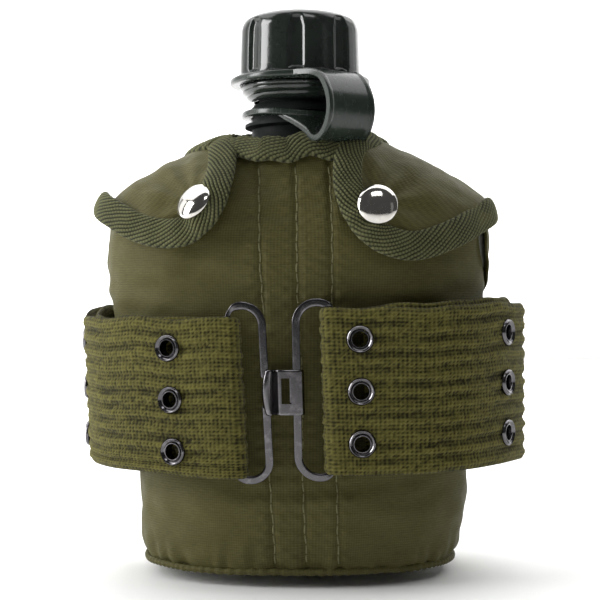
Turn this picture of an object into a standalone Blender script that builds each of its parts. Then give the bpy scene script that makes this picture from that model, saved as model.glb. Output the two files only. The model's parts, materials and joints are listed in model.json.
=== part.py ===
"""One-quart belt canteen: a moulded bottle with a screw cap on a retaining strap, in a fabric cover with two
snap flaps, with a webbing belt buckled round it.

Frame: +Z up, origin on the floor under the bottle's axis, buckle towards -Y.
Sizes below are in millimetres, and add_mesh() turns them into Blender's metres.
"""

import math

import bmesh
import bpy
import numpy as np
from mathutils import Vector

MM = 0.001
GAP = 0.3  # between touching solids

# Cover's outer surface: height, half width, front depth, back depth
BODY_SECTIONS = [
    (0.0, 47.5, 34.5, 28.5),
    (2.0, 52.4, 38.0, 31.8),
    (7.0, 56.6, 40.2, 34.2),
    (20.0, 59.4, 41.0, 35.5),
    (36.0, 61.3, 39.4, 35.6),
    (60.0, 64.4, 39.2, 36.0),
    (90.0, 67.8, 38.8, 36.0),
    (112.0, 70.2, 38.0, 35.5),
    (122.0, 69.4, 36.2, 34.2),
    (128.0, 66.8, 34.4, 32.4),
    (134.0, 60.5, 32.2, 30.2),
    (140.0, 51.5, 29.6, 28.0),
    (146.0, 40.5, 26.6, 25.6),
    (151.0, 29.6, 23.6, 22.6),
    (154.5, 22.5, 21.0, 20.5),
]
SOLE = (0.0, 45.6, 32.6, 26.8)  # bottom panel, inside the front and back panels' hems
PIPING = (1.2, 2.8, 55.0, 40.2, 34.2)  # wire radius, height, then half width, front and back depth
SQUARE_FRONT, SQUARE_BACK = 2.3, 3.0  # superellipse exponents of the body, which ends round at the neck
SEGMENTS = 32
CLOTH = 1.2
LINING = 1.6
BOTTLE_WALL = 1.8

# Bottle neck, as radius and height of its outer wall
NECK_PROFILE = [(17.4, 156.3), (17.4, 157.7), (19.9, 158.3), (19.9, 159.5), (17.7, 159.6), (17.7, 162.8),
                (19.3, 162.9), (17.3, 165.7), (15.2, 165.9), (15.2, 194.5)]
MOUTH_RADIUS = 13.0
THREAD_PITCH = 5.0
BOTTLE_THREAD = (15.0, 16.6, 176.0, 2.0)  # root radius, crest radius, first height, turns
CAP_THREAD = (17.2, 15.7, 178.5, 1.25)
THREAD_ROOT, THREAD_CREST = 1.0, 0.5  # half widths of both ridges

# Screw cap
CAP_TOP = 200.0
CAP_RADIUS = 21.8
CAP_BORE = 17.0
CAP_LOBES = 8
LOBE_DEPTH = 0.9
SEAL_THICKNESS = 1.4

# Retaining strap
STRAP_DIRECTION = math.radians(-62)
STRAP_WIDTH, STRAP_THICKNESS = 18.0, 2.0
CAP_RING = (20.6, 26.2, 173.8, 176.4)  # inner radius, outer radius, bottom, top
NECK_RING = (18.1, 21.7, 160.0, 162.5)
STRAP_ROUTE = [(28.0, 175.6), (31.5, 174.8), (35.0, 172.0), (37.6, 167.8), (38.5, 163.2), (37.8, 158.6),
               (35.7, 155.0), (32.7, 153.3), (29.9, 154.5), (27.6, 157.4), (24.8, 160.2)]

# Flaps: lower edge in the front view (x, z) from the neck side to the outer tip, and the fold line's ends
FLAP_EDGES = {
    "left": [(-22.4, 149.0), (-22.8, 142.5), (-23.2, 135.0), (-25.4, 127.2), (-29.8, 119.6), (-37.6, 114.4),
             (-47.0, 113.4), (-57.4, 115.8), (-66.4, 121.0), (-72.0, 125.2)],
    "right": [(12.6, 148.5), (12.0, 141.0), (12.4, 132.0), (15.8, 122.8), (22.4, 114.6), (31.6, 109.9),
              (41.6, 109.6), (53.0, 113.4), (63.6, 119.0), (70.5, 123.4)],
}
FLAP_THICKNESS = 1.6
FOLD_GAP = 0.7  # each side of the fold line
FLAP_STANDOFF = (6.5, 3.0)  # how far a flap's surface stands outside the cover, sideways and forwards
BINDING_WIDTH = 8.0
BINDING_LOW, BINDING_HIGH = -0.1, 2.3  # from the flap's inner face
SNAPS = {"left": (-35.8, 127.6), "right": (26.0, 126.6)}
SNAP_CAP_RADIUS = 7.2

# Belt
BELT_LOW, BELT_HIGH = 36.4, 92.4
BELT_THICKNESS = 2.6
BELT_FRONT, BELT_INNER_FRONT = -47.4, -41.6  # centre lines of the outer layer and of the tail behind it
BELT_BACK = 43.4
BELT_ROUTE = [(11.2, BELT_FRONT), (30.0, -47.3), (46.0, -45.6), (61.0, -39.8), (73.2, -28.2), (79.8, -12.5),
              (81.0, 4.0), (77.6, 19.0), (69.0, 31.6), (55.5, 40.4), (38.0, BELT_BACK), (18.0, BELT_BACK),
              (0.0, BELT_BACK), (-18.0, BELT_BACK), (-36.0, BELT_BACK), (-54.0, 40.4), (-67.0, 31.6),
              (-75.0, 19.0), (-77.8, 4.5), (-76.0, -10.0), (-69.5, -23.0), (-57.5, -34.0), (-43.0, -41.8),
              (-31.0, -46.2), (-22.2, BELT_FRONT)]
TAIL_LENGTH = 118.0
TAIL_OFFSET = 3.9
TAIL_RISE = 3.4
EYELET_ROWS = (47.1, 64.6, 82.1)
FIRST_EYELETS = (9.0, 22.4)  # from each fold, along the belt
EYELET_COLUMNS = 7
EYELET_BORE, EYELET_RADIUS = 2.7, 4.6

# Buckle: two wire loops and a T-headed hook plate
WIRE_WIDTH, WIRE_THICKNESS = 2.6, 1.9
LEFT_BARS, RIGHT_BARS = (-11.4, -23.2), (-1.0, 11.9)  # X of each loop's inner bar and of the bar in its fold
LOOP_LOW, LOOP_HIGH = 34.4, 94.4
INNER_CORNER, HIDDEN_CORNER = 7.5, 2.2
BUCKLE_Y = (BELT_FRONT + BELT_INNER_FRONT) / 2
BUCKLE_MIDDLE = 64.4
SPLIT_HEIGHT = 9.0
HOOK_HEIGHT = 15.0
HOOK_NECK_HEIGHT = 7.6
HOOK_STEEL = 0.9
HOOK_SLOT = (-6.9, -3.9, 4.6)  # from X, to X, half height

# Belt keepers on the back
KEEPER_X = 25.0
KEEPER_WIDTH = 14.0
KEEPER_STEEL = 1.1
KEEPER_INNER, KEEPER_OUTER = 40.4, 47.2
KEEPER_LOW, KEEPER_HIGH = 31.5, 97.0


def clear_scene():
    for obj in list(bpy.data.objects):
        bpy.data.objects.remove(obj)


def make_material(name, colour, roughness, metallic=0.0):
    material = bpy.data.materials.new(name)
    material.use_nodes = True
    shader = material.node_tree.nodes["Principled BSDF"]
    shader.inputs["Base Color"].default_value = (*colour, 1.0)
    shader.inputs["Roughness"].default_value = roughness
    shader.inputs["Metallic"].default_value = metallic
    return material


def make_materials():
    looks = {
        "bottle": ((0.012, 0.020, 0.015), 0.35, 0.0),
        "cap_plastic": ((0.010, 0.018, 0.013), 0.18, 0.0),
        "seal_rubber": ((0.02, 0.02, 0.02), 0.8, 0.0),
        "cover_nylon": ((0.095, 0.092, 0.030), 0.75, 0.0),
        "binding_tape": ((0.100, 0.100, 0.038), 0.9, 0.0),
        "fleece": ((0.30, 0.30, 0.24), 1.0, 0.0),
        "belt_cotton": ((0.130, 0.115, 0.025), 0.95, 0.0),
        "snap_steel": ((0.75, 0.74, 0.70), 0.12, 1.0),
        "black_steel": ((0.045, 0.045, 0.05), 0.32, 0.9),
    }
    return {name: make_material(name, *look) for name, look in looks.items()}


# ---- meshes ----


def add_mesh(name, vertices, faces, material=None, pivot=(0, 0, 0), parent=None):
    """Closed mesh from points in millimetres, with its origin at the pivot and its faces turned outwards."""
    mesh = bpy.data.meshes.new(name)
    obj = bpy.data.objects.new(name, mesh)
    work = bmesh.new()
    points = [work.verts.new((Vector(map(float, v)) - Vector(pivot)) * MM) for v in vertices]
    for face in faces:
        work.faces.new([points[i] for i in face])
    bmesh.ops.remove_doubles(work, verts=work.verts, dist=1e-7)
    bmesh.ops.recalc_face_normals(work, faces=work.faces)
    work.to_mesh(mesh)
    work.free()
    mesh.shade_smooth()
    mesh.set_sharp_from_angle(angle=math.radians(35))
    if material:
        mesh.materials.append(material)
    bpy.context.scene.collection.objects.link(obj)
    if parent:
        obj.parent = parent
        obj.location = Vector(pivot) * MM - parent.location
    else:
        obj.location = Vector(pivot) * MM
    return obj


def add_pivot(name, position):
    empty = bpy.data.objects.new(name, None)
    empty.location = Vector(position) * MM
    bpy.context.scene.collection.objects.link(empty)
    return empty


def combine(obj, other, operation):
    """Joins another mesh to this one, or cuts it away, and hides the other."""
    modifier = obj.modifiers.new(other.name, "BOOLEAN")
    modifier.operation = operation
    modifier.solver = "EXACT"
    modifier.object = other
    other.hide_render = True
    other.display_type = "WIRE"


def grid_faces(rows, columns, wrap, start=0):
    last = columns if wrap else columns - 1
    faces = []
    for r in range(rows - 1):
        for c in range(last):
            n = (c + 1) % columns
            faces.append([start + r * columns + c, start + r * columns + n,
                          start + (r + 1) * columns + n, start + (r + 1) * columns + c])
    return faces


def shell_mesh(outer, inner, wrap=False):
    """Closed solid between two matching grids of points. A wrapped grid is open at its two end rows."""
    rows, columns = outer.shape[:2]
    count = rows * columns
    faces = grid_faces(rows, columns, wrap) + grid_faces(rows, columns, wrap, count)
    for r in (0, rows - 1):
        for c in range(columns if wrap else columns - 1):
            a, b = r * columns + c, r * columns + (c + 1) % columns
            faces.append([a, b, b + count, a + count])
    if not wrap:
        for c in (0, columns - 1):
            for r in range(rows - 1):
                a, b = r * columns + c, (r + 1) * columns + c
                faces.append([a, b, b + count, a + count])
    return np.vstack([outer.reshape(-1, 3), inner.reshape(-1, 3)]), faces


def vessel_mesh(outer, inner):
    """Hollow vessel from two stacks of rings, closed at the bottom and joined at the mouth."""
    columns = outer.shape[1]
    count = outer.shape[0] * columns
    top_outer, top_inner = count - columns, count + (inner.shape[0] - 1) * columns
    faces = grid_faces(outer.shape[0], columns, True) + grid_faces(inner.shape[0], columns, True, count)
    faces += [list(range(columns)), list(range(count, count + columns))]
    for c in range(columns):
        n = (c + 1) % columns
        faces.append([top_outer + c, top_outer + n, top_inner + n, top_inner + c])
    return np.vstack([outer.reshape(-1, 3), inner.reshape(-1, 3)]), faces


def turned_mesh(profile, segments, centre=(0, 0, 0), axis=(0, 0, 1), ripple=None):
    """Closed (radius, height) profile turned round an axis, its radius changed by ripple()."""
    turn = Vector((0, 0, 1)).rotation_difference(Vector(axis)).to_matrix()
    points = []
    for s in range(segments):
        angle = 2 * math.pi * s / segments
        for radius, height in profile:
            r = ripple(angle, radius, height) if ripple else radius
            points.append(turn @ Vector((r * math.cos(angle), r * math.sin(angle), height)) + Vector(centre))
    size = len(profile)
    faces = [[s * size + k, s * size + (k + 1) % size,
              ((s + 1) % segments) * size + (k + 1) % size, ((s + 1) % segments) * size + k]
             for s in range(segments) for k in range(size)]
    return points, faces


def ring_profile(inner, outer, low, high):
    return [(inner, low), (outer, low), (outer, high), (inner, high)]


def spline(points, per_span=6):
    """Smooth curve through the points."""
    p = np.array(points, float)
    p = np.vstack([2 * p[0] - p[1], p, 2 * p[-1] - p[-2]])
    curve = []
    for i in range(1, len(p) - 2):
        for t in np.linspace(0, 1, per_span, endpoint=False):
            a, b, c, d = p[i - 1:i + 3]
            curve.append(0.5 * (2 * b + (c - a) * t + (2 * a - 5 * b + 4 * c - d) * t**2
                                + (3 * b - a - 3 * c + d) * t**3))
    return np.array(curve + [p[-2]])


def lengths_along(points):
    return np.concatenate([[0], np.cumsum(np.linalg.norm(np.diff(points, axis=0), axis=1))])


def at_length(points, distance):
    s = lengths_along(points)
    return np.array([np.interp(distance, s, points[:, k]) for k in range(points.shape[1])]).T


def tangents(points):
    t = np.gradient(points, axis=0)
    return t / np.linalg.norm(t, axis=1)[:, None]


# ---- body surface ----


def inset_sections(depth):
    """Body sections moved inwards by this depth, square to the side profile."""
    s = np.array(BODY_SECTIONS)
    slope = np.gradient(s, axis=0)
    slope[0] = (0.5, 1.0, 1.0, 1.0)
    side = np.hypot(slope[:, 0], slope[:, 1])
    up = -slope[:, 1] / side
    moved = s.copy()
    moved[:, 0] -= depth * up
    for k in (1, 2, 3):
        length = np.hypot(slope[:, 0], slope[:, k])
        out_k, up_k = slope[:, 0] / length, -slope[:, k] / length
        moved[:, k] -= depth * (1 - up * up_k) / np.maximum(out_k, 0.45)
    moved[0, 0] = depth
    return moved


def squareness(height):
    """Exponents of the front and back halves of a section at this height."""
    share = np.clip((height - 118.0) / 36.0, 0, 1)
    return SQUARE_FRONT + (2 - SQUARE_FRONT) * share, SQUARE_BACK + (2 - SQUARE_BACK) * share


def body_rings(sections, angles, refine=2):
    """Points on the body: one ring for each row of sections, at these angles (0 is +X, 270 degrees is -Y)."""
    rings = []
    for height, width, front, back in spline(sections, refine):
        n_front, n_back = squareness(height)
        ring = []
        for angle in angles:
            c, s = math.cos(angle), math.sin(angle)
            n, depth = (n_front, front) if s < 0 else (n_back, back)
            ring.append((width * math.copysign(abs(c) ** (2 / n), c),
                         depth * math.copysign(abs(s) ** (2 / n), s), height))
        rings.append(ring)
    return np.array(rings)


def front_surface(x, z, stand_side=0.0, stand_front=0.0):
    """Y of the body's front at (x, z), for a surface that stands outside the cover by these amounts."""
    dense = spline(BODY_SECTIONS, 8)
    width = np.interp(z, dense[:, 0], dense[:, 1]) + stand_side
    depth = np.interp(z, dense[:, 0], dense[:, 2]) + stand_front
    n = squareness(z)[0]
    return -depth * max(0.0, 1 - min(1.0, abs(x) / width) ** n) ** (1 / n)


def front_normal(x, z, *stand):
    """Outward normal of that surface."""
    step = 0.2
    dx = (front_surface(x + step, z, *stand) - front_surface(x - step, z, *stand)) / (2 * step)
    dz = (front_surface(x, z + step, *stand) - front_surface(x, z - step, *stand)) / (2 * step)
    return Vector((dx, -1.0, dz)).normalized()


# ---- bottle, cap and strap ----


def thread_mesh(root, crest, first_height, turns):
    """Helical ridge of trapezoid section, tapering out at both ends."""
    steps = round(turns * 14)
    points = []
    for i in range(steps + 1):
        share = i / steps
        fade = min(1.0, 8 * min(share, 1 - share) + 0.15)
        angle = 2 * math.pi * turns * share
        height = first_height + THREAD_PITCH * turns * share
        tip = root + (crest - root) * fade
        section = [(root, -THREAD_ROOT), (tip, -THREAD_CREST), (tip, THREAD_CREST), (root, THREAD_ROOT)]
        for radius, dz in section:
            points.append((radius * math.cos(angle), radius * math.sin(angle), height + dz))
    faces = []
    for i in range(steps):
        for k in range(4):
            a, b = 4 * i + k, 4 * i + (k + 1) % 4
            faces.append([a, b, b + 4, a + 4])
    return points, faces + [[0, 1, 2, 3], [4 * steps + k for k in (3, 2, 1, 0)]]


def make_bottle(looks):
    angles = [2 * math.pi * i / SEGMENTS for i in range(SEGMENTS)]
    skin = CLOTH + LINING + 2 * GAP + 0.3
    outer = body_rings(inset_sections(skin), angles, 1)
    inner = body_rings(inset_sections(skin + BOTTLE_WALL), angles, 1)

    def circle(radius, height):
        return [(radius * math.cos(a), radius * math.sin(a), height) for a in angles]

    neck = np.array([circle(r, z) for r, z in NECK_PROFILE])
    bore = np.array([circle(MOUTH_RADIUS, z) for z in (157.0, NECK_PROFILE[-1][1])])
    walls = vessel_mesh(np.vstack([outer, neck]), np.vstack([inner, bore]))
    bottle = add_mesh("bottle", *walls, looks["bottle"])
    combine(bottle, add_mesh("bottle_thread_ridge", *thread_mesh(*BOTTLE_THREAD)), "UNION")


def lobed(angle, radius, height):
    """Grip lobes of the cap: shallow grooves in the skirt, fading out below the rounded top."""
    if radius < CAP_RADIUS - 0.5 or not 177.0 < height < 197.0:
        return radius
    phase = (angle * CAP_LOBES / (2 * math.pi)) % 1.0
    return radius - LOBE_DEPTH * math.exp(-((min(phase, 1 - phase) / 0.16) ** 2))


def make_cap(looks, lift):
    turn = add_pivot("cap_turn_axis", (0, 0, 180.0))
    turn.parent = lift
    turn.location -= lift.location
    top_inside = NECK_PROFILE[-1][1] + GAP + SEAL_THICKNESS + GAP
    profile = [(CAP_BORE, 166.3), (18.4, 166.3), (20.4, 168.2), (22.2, 173.4), (20.2, 173.5), (20.2, 176.7),
               (22.3, 176.8), (CAP_RADIUS + 0.3, 179.2), (CAP_RADIUS, 194.5), (CAP_RADIUS - 0.7, 197.2),
               (CAP_RADIUS - 2.6, 199.2), (CAP_RADIUS - 6.0, CAP_TOP), (0, CAP_TOP), (0, top_inside),
               (CAP_BORE, top_inside)]
    points, faces = turned_mesh(profile, CAP_LOBES * 4, ripple=lobed)
    cap = add_mesh("cap", points, faces, looks["cap_plastic"], (0, 0, 180.0), None)
    cap.parent = turn
    cap.location = (0, 0, 0)
    combine(cap, add_mesh("cap_thread_ridge", *thread_mesh(*CAP_THREAD)), "UNION")
    seal_low = NECK_PROFILE[-1][1] + GAP
    seal = add_mesh("cap_seal", *turned_mesh([(0, seal_low), (CAP_BORE - 0.5, seal_low),
                                              (CAP_BORE - 0.5, seal_low + SEAL_THICKNESS),
                                              (0, seal_low + SEAL_THICKNESS)], 24),
                    looks["seal_rubber"], (0, 0, 180.0))
    seal.parent = turn
    seal.location = (0, 0, 0)


def strap_band_mesh():
    """The strap between its rings: a flat band in a C, its ends hollowed to follow the two rings."""
    ring_ends = [(outer, (low + high) / 2) for _, outer, low, high in (CAP_RING, NECK_RING)]
    across = np.linspace(-STRAP_WIDTH / 2, STRAP_WIDTH / 2, 6)
    out = np.array([math.cos(STRAP_DIRECTION), math.sin(STRAP_DIRECTION), 0])
    side = np.array([-out[1], out[0], 0])
    faces_of = []
    for offset in (STRAP_THICKNESS / 2, -STRAP_THICKNESS / 2):
        columns = []
        for t in across:
            start, end = (math.sqrt(r**2 - t**2) + GAP + 0.1 for r, _ in ring_ends)
            route = spline([(start, ring_ends[0][1]), *STRAP_ROUTE, (end, ring_ends[1][1])], 2)
            along = tangents(route)
            edge = route + offset * np.stack([-along[:, 1], along[:, 0]], axis=1)
            edge[0, 0], edge[-1, 0] = start, end
            columns.append([r * out + t * side + np.array([0, 0, z]) for r, z in edge])
        faces_of.append(np.array(columns).transpose(1, 0, 2))
    return shell_mesh(*faces_of)


def make_strap(looks, lift):
    add_mesh("strap_neck_ring", *turned_mesh(ring_profile(*NECK_RING), SEGMENTS), looks["cap_plastic"])
    add_mesh("strap_cap_ring", *turned_mesh(ring_profile(*CAP_RING), SEGMENTS), looks["cap_plastic"],
             (0, 0, 175.1), lift)
    add_mesh("strap_band", *strap_band_mesh(), looks["cap_plastic"])


# ---- cover ----


def make_cover_shells(looks):
    seam = math.radians(0.6)
    halves = {"cover_front_panel": (math.pi + seam, 2 * math.pi - seam),
              "cover_back_panel": (seam, math.pi - seam)}
    for name, (start, end) in halves.items():
        angles = np.linspace(start, end, SEGMENTS // 2 + 1)
        outer = body_rings(inset_sections(0)[:-1], angles, 1)
        inner = body_rings(inset_sections(CLOTH)[:-1], angles, 1)
        add_mesh(name, *shell_mesh(outer, inner), looks["cover_nylon"])
    angles = [2 * math.pi * i / SEGMENTS for i in range(SEGMENTS)]
    lining_out = body_rings(inset_sections(CLOTH + GAP)[:-1], angles, 1)
    lining_in = body_rings(inset_sections(CLOTH + GAP + LINING)[:-1], angles, 1)
    add_mesh("cover_lining", *vessel_mesh(lining_out, lining_in), looks["fleece"])
    sole = body_rings([SOLE] * 2, angles, 1)[:2]
    sole[1, :, 2] = CLOTH
    faces = grid_faces(2, SEGMENTS, True) + [list(range(SEGMENTS)), list(range(SEGMENTS, 2 * SEGMENTS))]
    add_mesh("cover_bottom_panel", sole.reshape(-1, 3), faces, looks["cover_nylon"])


def make_piping(looks):
    """Welt sewn round the bottom seam."""
    radius, height, *reach = PIPING
    angles = [2 * math.pi * i / SEGMENTS for i in range(SEGMENTS)]
    centre = body_rings([(height, *reach)] * 2, angles, 1)[0]
    out = np.cross(np.roll(centre, -1, 0) - np.roll(centre, 1, 0), (0, 0, 1))
    out /= np.linalg.norm(out, axis=1)[:, None]
    points, sides = [], 6
    for p, n in zip(centre, out):
        for k in range(sides):
            a = 2 * math.pi * k / sides
            points.append(p + radius * (math.cos(a) * n + math.sin(a) * np.array([0, 0, 1.0])))
    faces = []
    for i in range(SEGMENTS):
        for k in range(sides):
            j, m = (i + 1) % SEGMENTS, (k + 1) % sides
            faces.append([i * sides + k, i * sides + m, j * sides + m, j * sides + k])
    add_mesh("bottom_piping", points, faces, looks["binding_tape"])


def sheet_on_front(grid_xz, low, high, stand):
    """Solid sheet over the body's front, from a grid of (x, z), between two heights along its normal."""
    layers = []
    for height in (high, low):
        layer = []
        for row in grid_xz:
            points = []
            for x, z in row:
                base = Vector((x, front_surface(x, z, *stand), z))
                points.append(base + front_normal(x, z, *stand) * height)
            layer.append(points)
        layers.append(np.array(layer))
    return shell_mesh(*layers)


def flap_grids(side, columns=13):
    """(x, z) grids of a flap, of its edge binding and of the shoulder cloth behind its fold line."""
    edge = spline(FLAP_EDGES[side], 6)
    edge = at_length(edge, np.linspace(0, lengths_along(edge)[-1], columns))
    fold = np.linspace(edge[0], edge[-1], columns)
    inward = np.stack([-tangents(edge)[:, 1], tangents(edge)[:, 0]], axis=1)
    if side == "left":
        inward = -inward
    room = np.maximum(0.15, np.minimum(1.0, np.linalg.norm(fold - edge, axis=1) / (1.6 * BINDING_WIDTH)))
    inset = edge + inward * (BINDING_WIDTH * room)[:, None]
    sheet_end = inset + inward * (GAP + 0.1)
    top = edge[0] + np.linspace(0.17, 0.84, columns)[:, None] * (edge[-1] - edge[0]) - np.array([0, FOLD_GAP])
    body = [[top[i] * (1 - t) + sheet_end[i] * t for i in range(1, columns - 1)]
            for t in np.linspace(0, 1, 5)]
    binding = [[edge[i] * (1 - t) + inset[i] * t for i in range(columns)] for t in (0, 0.5, 1)]
    return body, binding


def shoulder_grid(side, columns=9):
    """(x, z) grid of the fixed cloth between the fold line and the shoulder's ridge."""
    (x0, z0), (x1, z1) = FLAP_EDGES[side][0], FLAP_EDGES[side][-1]
    rows = []
    dense = spline(BODY_SECTIONS, 8)[40:]
    for share in np.linspace(0, 1, 4):
        row = []
        for t in np.linspace(0.02, 0.86, columns):
            x, low = x0 + (x1 - x0) * t, z0 + (z1 - z0) * t + FOLD_GAP
            ridge = np.interp(-abs(x) - 0.6, -(dense[:, 1] + FLAP_STANDOFF[0]), dense[:, 0])
            row.append((x, low + (max(ridge, low + 1.5) - low) * share))
        rows.append(row)
    return rows


def fold_axis(side):
    """Start, end and unit direction of a flap's hinge line, at the flap's outer face."""
    ends = []
    for x, z in (FLAP_EDGES[side][0], FLAP_EDGES[side][-1]):
        z += 1.0
        base = Vector((x, front_surface(x, z, *FLAP_STANDOFF), z))
        ends.append(base + front_normal(x, z, *FLAP_STANDOFF) * (FLAP_THICKNESS + 0.8))
    return ends[0], ends[1], (ends[1] - ends[0]).normalized()


def make_flap(side, looks):
    start, end, _ = fold_axis(side)
    middle = (start + end) / 2
    hinge = add_pivot(f"flap_{side}_hinge", middle)
    body, binding = flap_grids(side)
    add_mesh(f"flap_{side}", *sheet_on_front(body, 0.0, FLAP_THICKNESS, FLAP_STANDOFF), looks["cover_nylon"],
             middle, hinge)
    add_mesh(f"flap_{side}_binding",
             *sheet_on_front(binding, BINDING_LOW, BINDING_HIGH, FLAP_STANDOFF), looks["binding_tape"],
             middle, hinge)
    add_mesh(f"shoulder_{side}", *sheet_on_front(shoulder_grid(side), 0.0, FLAP_THICKNESS, FLAP_STANDOFF),
             looks["cover_nylon"])
    make_snap(side, looks, middle, hinge)


def make_snap(side, looks, middle, hinge):
    """Snap fastener: domed cap on the flap, socket under it, and stud on the front panel."""
    x, z = SNAPS[side]
    base = Vector((x, front_surface(x, z, *FLAP_STANDOFF), z))
    axis = front_normal(x, z, *FLAP_STANDOFF)
    above = BINDING_HIGH + GAP
    dome = [(0, above), (SNAP_CAP_RADIUS - 0.4, above), (SNAP_CAP_RADIUS, above + 0.5),
            (SNAP_CAP_RADIUS - 0.8, above + 1.3), (SNAP_CAP_RADIUS - 3.0, above + 2.1), (0, above + 2.6)]
    add_mesh(f"snap_cap_{side}", *turned_mesh(dome, 20, base, axis), looks["snap_steel"], middle, hinge)
    socket = [(3.1, -1.5), (5.0, -1.5), (5.6, -0.6), (3.1, -0.6)]
    add_mesh(f"snap_socket_{side}", *turned_mesh(socket, 16, base, axis), looks["snap_steel"], middle, hinge)
    on_panel = Vector((x, front_surface(x, z), z))
    foot = (on_panel - base).dot(axis)
    stud = [(0, foot + 0.4), (4.4, foot + 0.4), (4.4, foot + 0.8), (1.7, foot + 0.9), (1.9, -0.9), (0, -0.8)]
    add_mesh(f"snap_stud_{side}", *turned_mesh(stud, 16, base, axis), looks["snap_steel"])


def make_neck_bindings(looks):
    """Tape on the mouth of the cover: in front between the flaps, and behind the neck."""
    left, right = FLAP_EDGES["left"][0][0] + 1.4, FLAP_EDGES["right"][0][0] - 1.4
    front = [[(x, z) for x in np.linspace(left, right, 9)] for z in (142.0, 146.0, 150.6)]
    add_mesh("neck_binding_front", *sheet_on_front(front, 0.5, 2.2, (0, 0)), looks["binding_tape"])
    angles = np.linspace(math.radians(28), math.radians(152), 13)
    rows = [s for s in BODY_SECTIONS if 139 < s[0] < 152]
    wide = [(z, a + 2.2, f + 2.2, b + 2.2) for z, a, f, b in rows]
    near = [(z, a + 0.7, f + 0.7, b + 0.7) for z, a, f, b in rows]
    add_mesh("neck_binding_back", *shell_mesh(body_rings(wide, angles, 1), body_rings(near, angles, 1)),
             looks["binding_tape"])


# ---- belt ----


def belt_centre_line():
    """Route of the outer layer seen from above, from the right fold round the back to the left fold."""
    return spline(BELT_ROUTE, 4)


def tail_line(outer, sign):
    """Route of the tail behind one end of the outer layer, from its fold. sign is +1 at outer's start."""
    line = outer if sign > 0 else outer[::-1]
    steps = np.linspace(0, TAIL_LENGTH, 22)
    points = at_length(line, steps)
    along = tangents(points)
    inward = np.stack([-along[:, 1], along[:, 0]], axis=1) * sign
    first = BELT_INNER_FRONT - BELT_FRONT
    offset = first + (TAIL_OFFSET - first) * np.clip(steps / 25.0, 0, 1)
    return points + inward * offset[:, None]


def fold_points(x, sign):
    """Half turn round a loop's hidden bar, from the tail to the outer layer."""
    radius = (BELT_INNER_FRONT - BELT_FRONT) / 2
    turn = np.linspace(math.pi / 2, -math.pi / 2, 7)[1:-1]
    return np.array([(x - sign * radius * math.cos(a), BUCKLE_Y + radius * math.sin(a)) for a in turn])


def belt_mesh():
    outer = belt_centre_line()
    right_tail, left_tail = tail_line(outer, 1), tail_line(outer, -1)
    line = np.vstack([right_tail[::-1], fold_points(BELT_ROUTE[0][0], 1), outer,
                      fold_points(BELT_ROUTE[-1][0], -1)[::-1], left_tail])
    tail_rise = np.linspace(0, TAIL_RISE, len(right_tail))
    middle = np.zeros(len(line) - 2 * len(right_tail))
    rise = np.concatenate([tail_rise[::-1], middle, tail_rise])
    along = tangents(line)
    side = np.stack([along[:, 1], -along[:, 0]], axis=1) * BELT_THICKNESS / 2
    faces_of = []
    for sign in (1, -1):
        edge = line + sign * side
        faces_of.append(np.array([np.column_stack([edge, np.full(len(edge), z) + rise])
                                  for z in (BELT_LOW, BELT_HIGH)]))
    return shell_mesh(*faces_of)


def eyelet_places():
    """Centre and outward direction of each eyelet column on the outer layer."""
    outer = belt_centre_line()
    total = lengths_along(outer)[-1]
    places = []
    for s in np.linspace(FIRST_EYELETS[0], total - FIRST_EYELETS[1], EYELET_COLUMNS):
        before, here, after = at_length(outer, np.array([s - 0.5, s, s + 0.5]))
        along = after - before
        places.append((here, Vector((along[1], -along[0], 0)).normalized()))
    return places


def make_belt(looks):
    belt = add_mesh("belt_webbing", *belt_mesh(), looks["belt_cotton"])
    back, face = BELT_THICKNESS / 2 + 0.4, BELT_THICKNESS / 2 + 0.9
    profile = [(EYELET_BORE, -face), (4.1, -back), (3.3, -back), (3.3, back), (EYELET_RADIUS, back),
               (EYELET_BORE + 0.4, face)]
    hole = [(0, -2.0), (3.7, -2.0), (3.7, 2.0), (0, 2.0)]
    for column, (place, out) in enumerate(eyelet_places()):
        for row, z in enumerate(EYELET_ROWS):
            centre = (*place, z)
            add_mesh(f"eyelet_{column + 1}_{'abc'[row]}", *turned_mesh(profile, 10, centre, out),
                     looks["black_steel"])
            combine(belt, add_mesh(f"hole_{column}_{row}", *turned_mesh(hole, 10, centre, out)), "DIFFERENCE")
    outer = belt_centre_line()
    for name, sign in (("right", 1), ("left", -1)):
        make_end_clip(name, tail_line(outer, sign), looks)


def make_end_clip(name, tail, looks):
    """Folded metal clip round the cut end of a belt tail."""
    total = lengths_along(tail)[-1]
    line = at_length(tail, np.array([total - 9.0, total - 4.0, total]))
    end = tangents(line)[-1]
    normal = np.array([end[1], -end[0]])
    half, steel = BELT_THICKNESS / 2 + GAP + 0.15, 0.6
    tip = line[-1] + end * GAP

    def wrap(extra):
        near = [p + normal * (half + extra) for p in line[:-1]]
        far = [p - normal * (half + extra) for p in line[:-1]][::-1]
        return np.array([*near, tip + normal * (half + extra) + end * extra,
                         tip - normal * (half + extra) + end * extra, *far])

    low, high = BELT_LOW + TAIL_RISE + 2.0, BELT_HIGH + TAIL_RISE - 2.0
    layers = [np.array([np.column_stack([wrap(extra), np.full(len(line) * 2, z)]) for z in (low, high)])
              for extra in (steel, 0.0)]
    add_mesh(f"belt_end_clip_{name}", *shell_mesh(*layers), looks["black_steel"])


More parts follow.
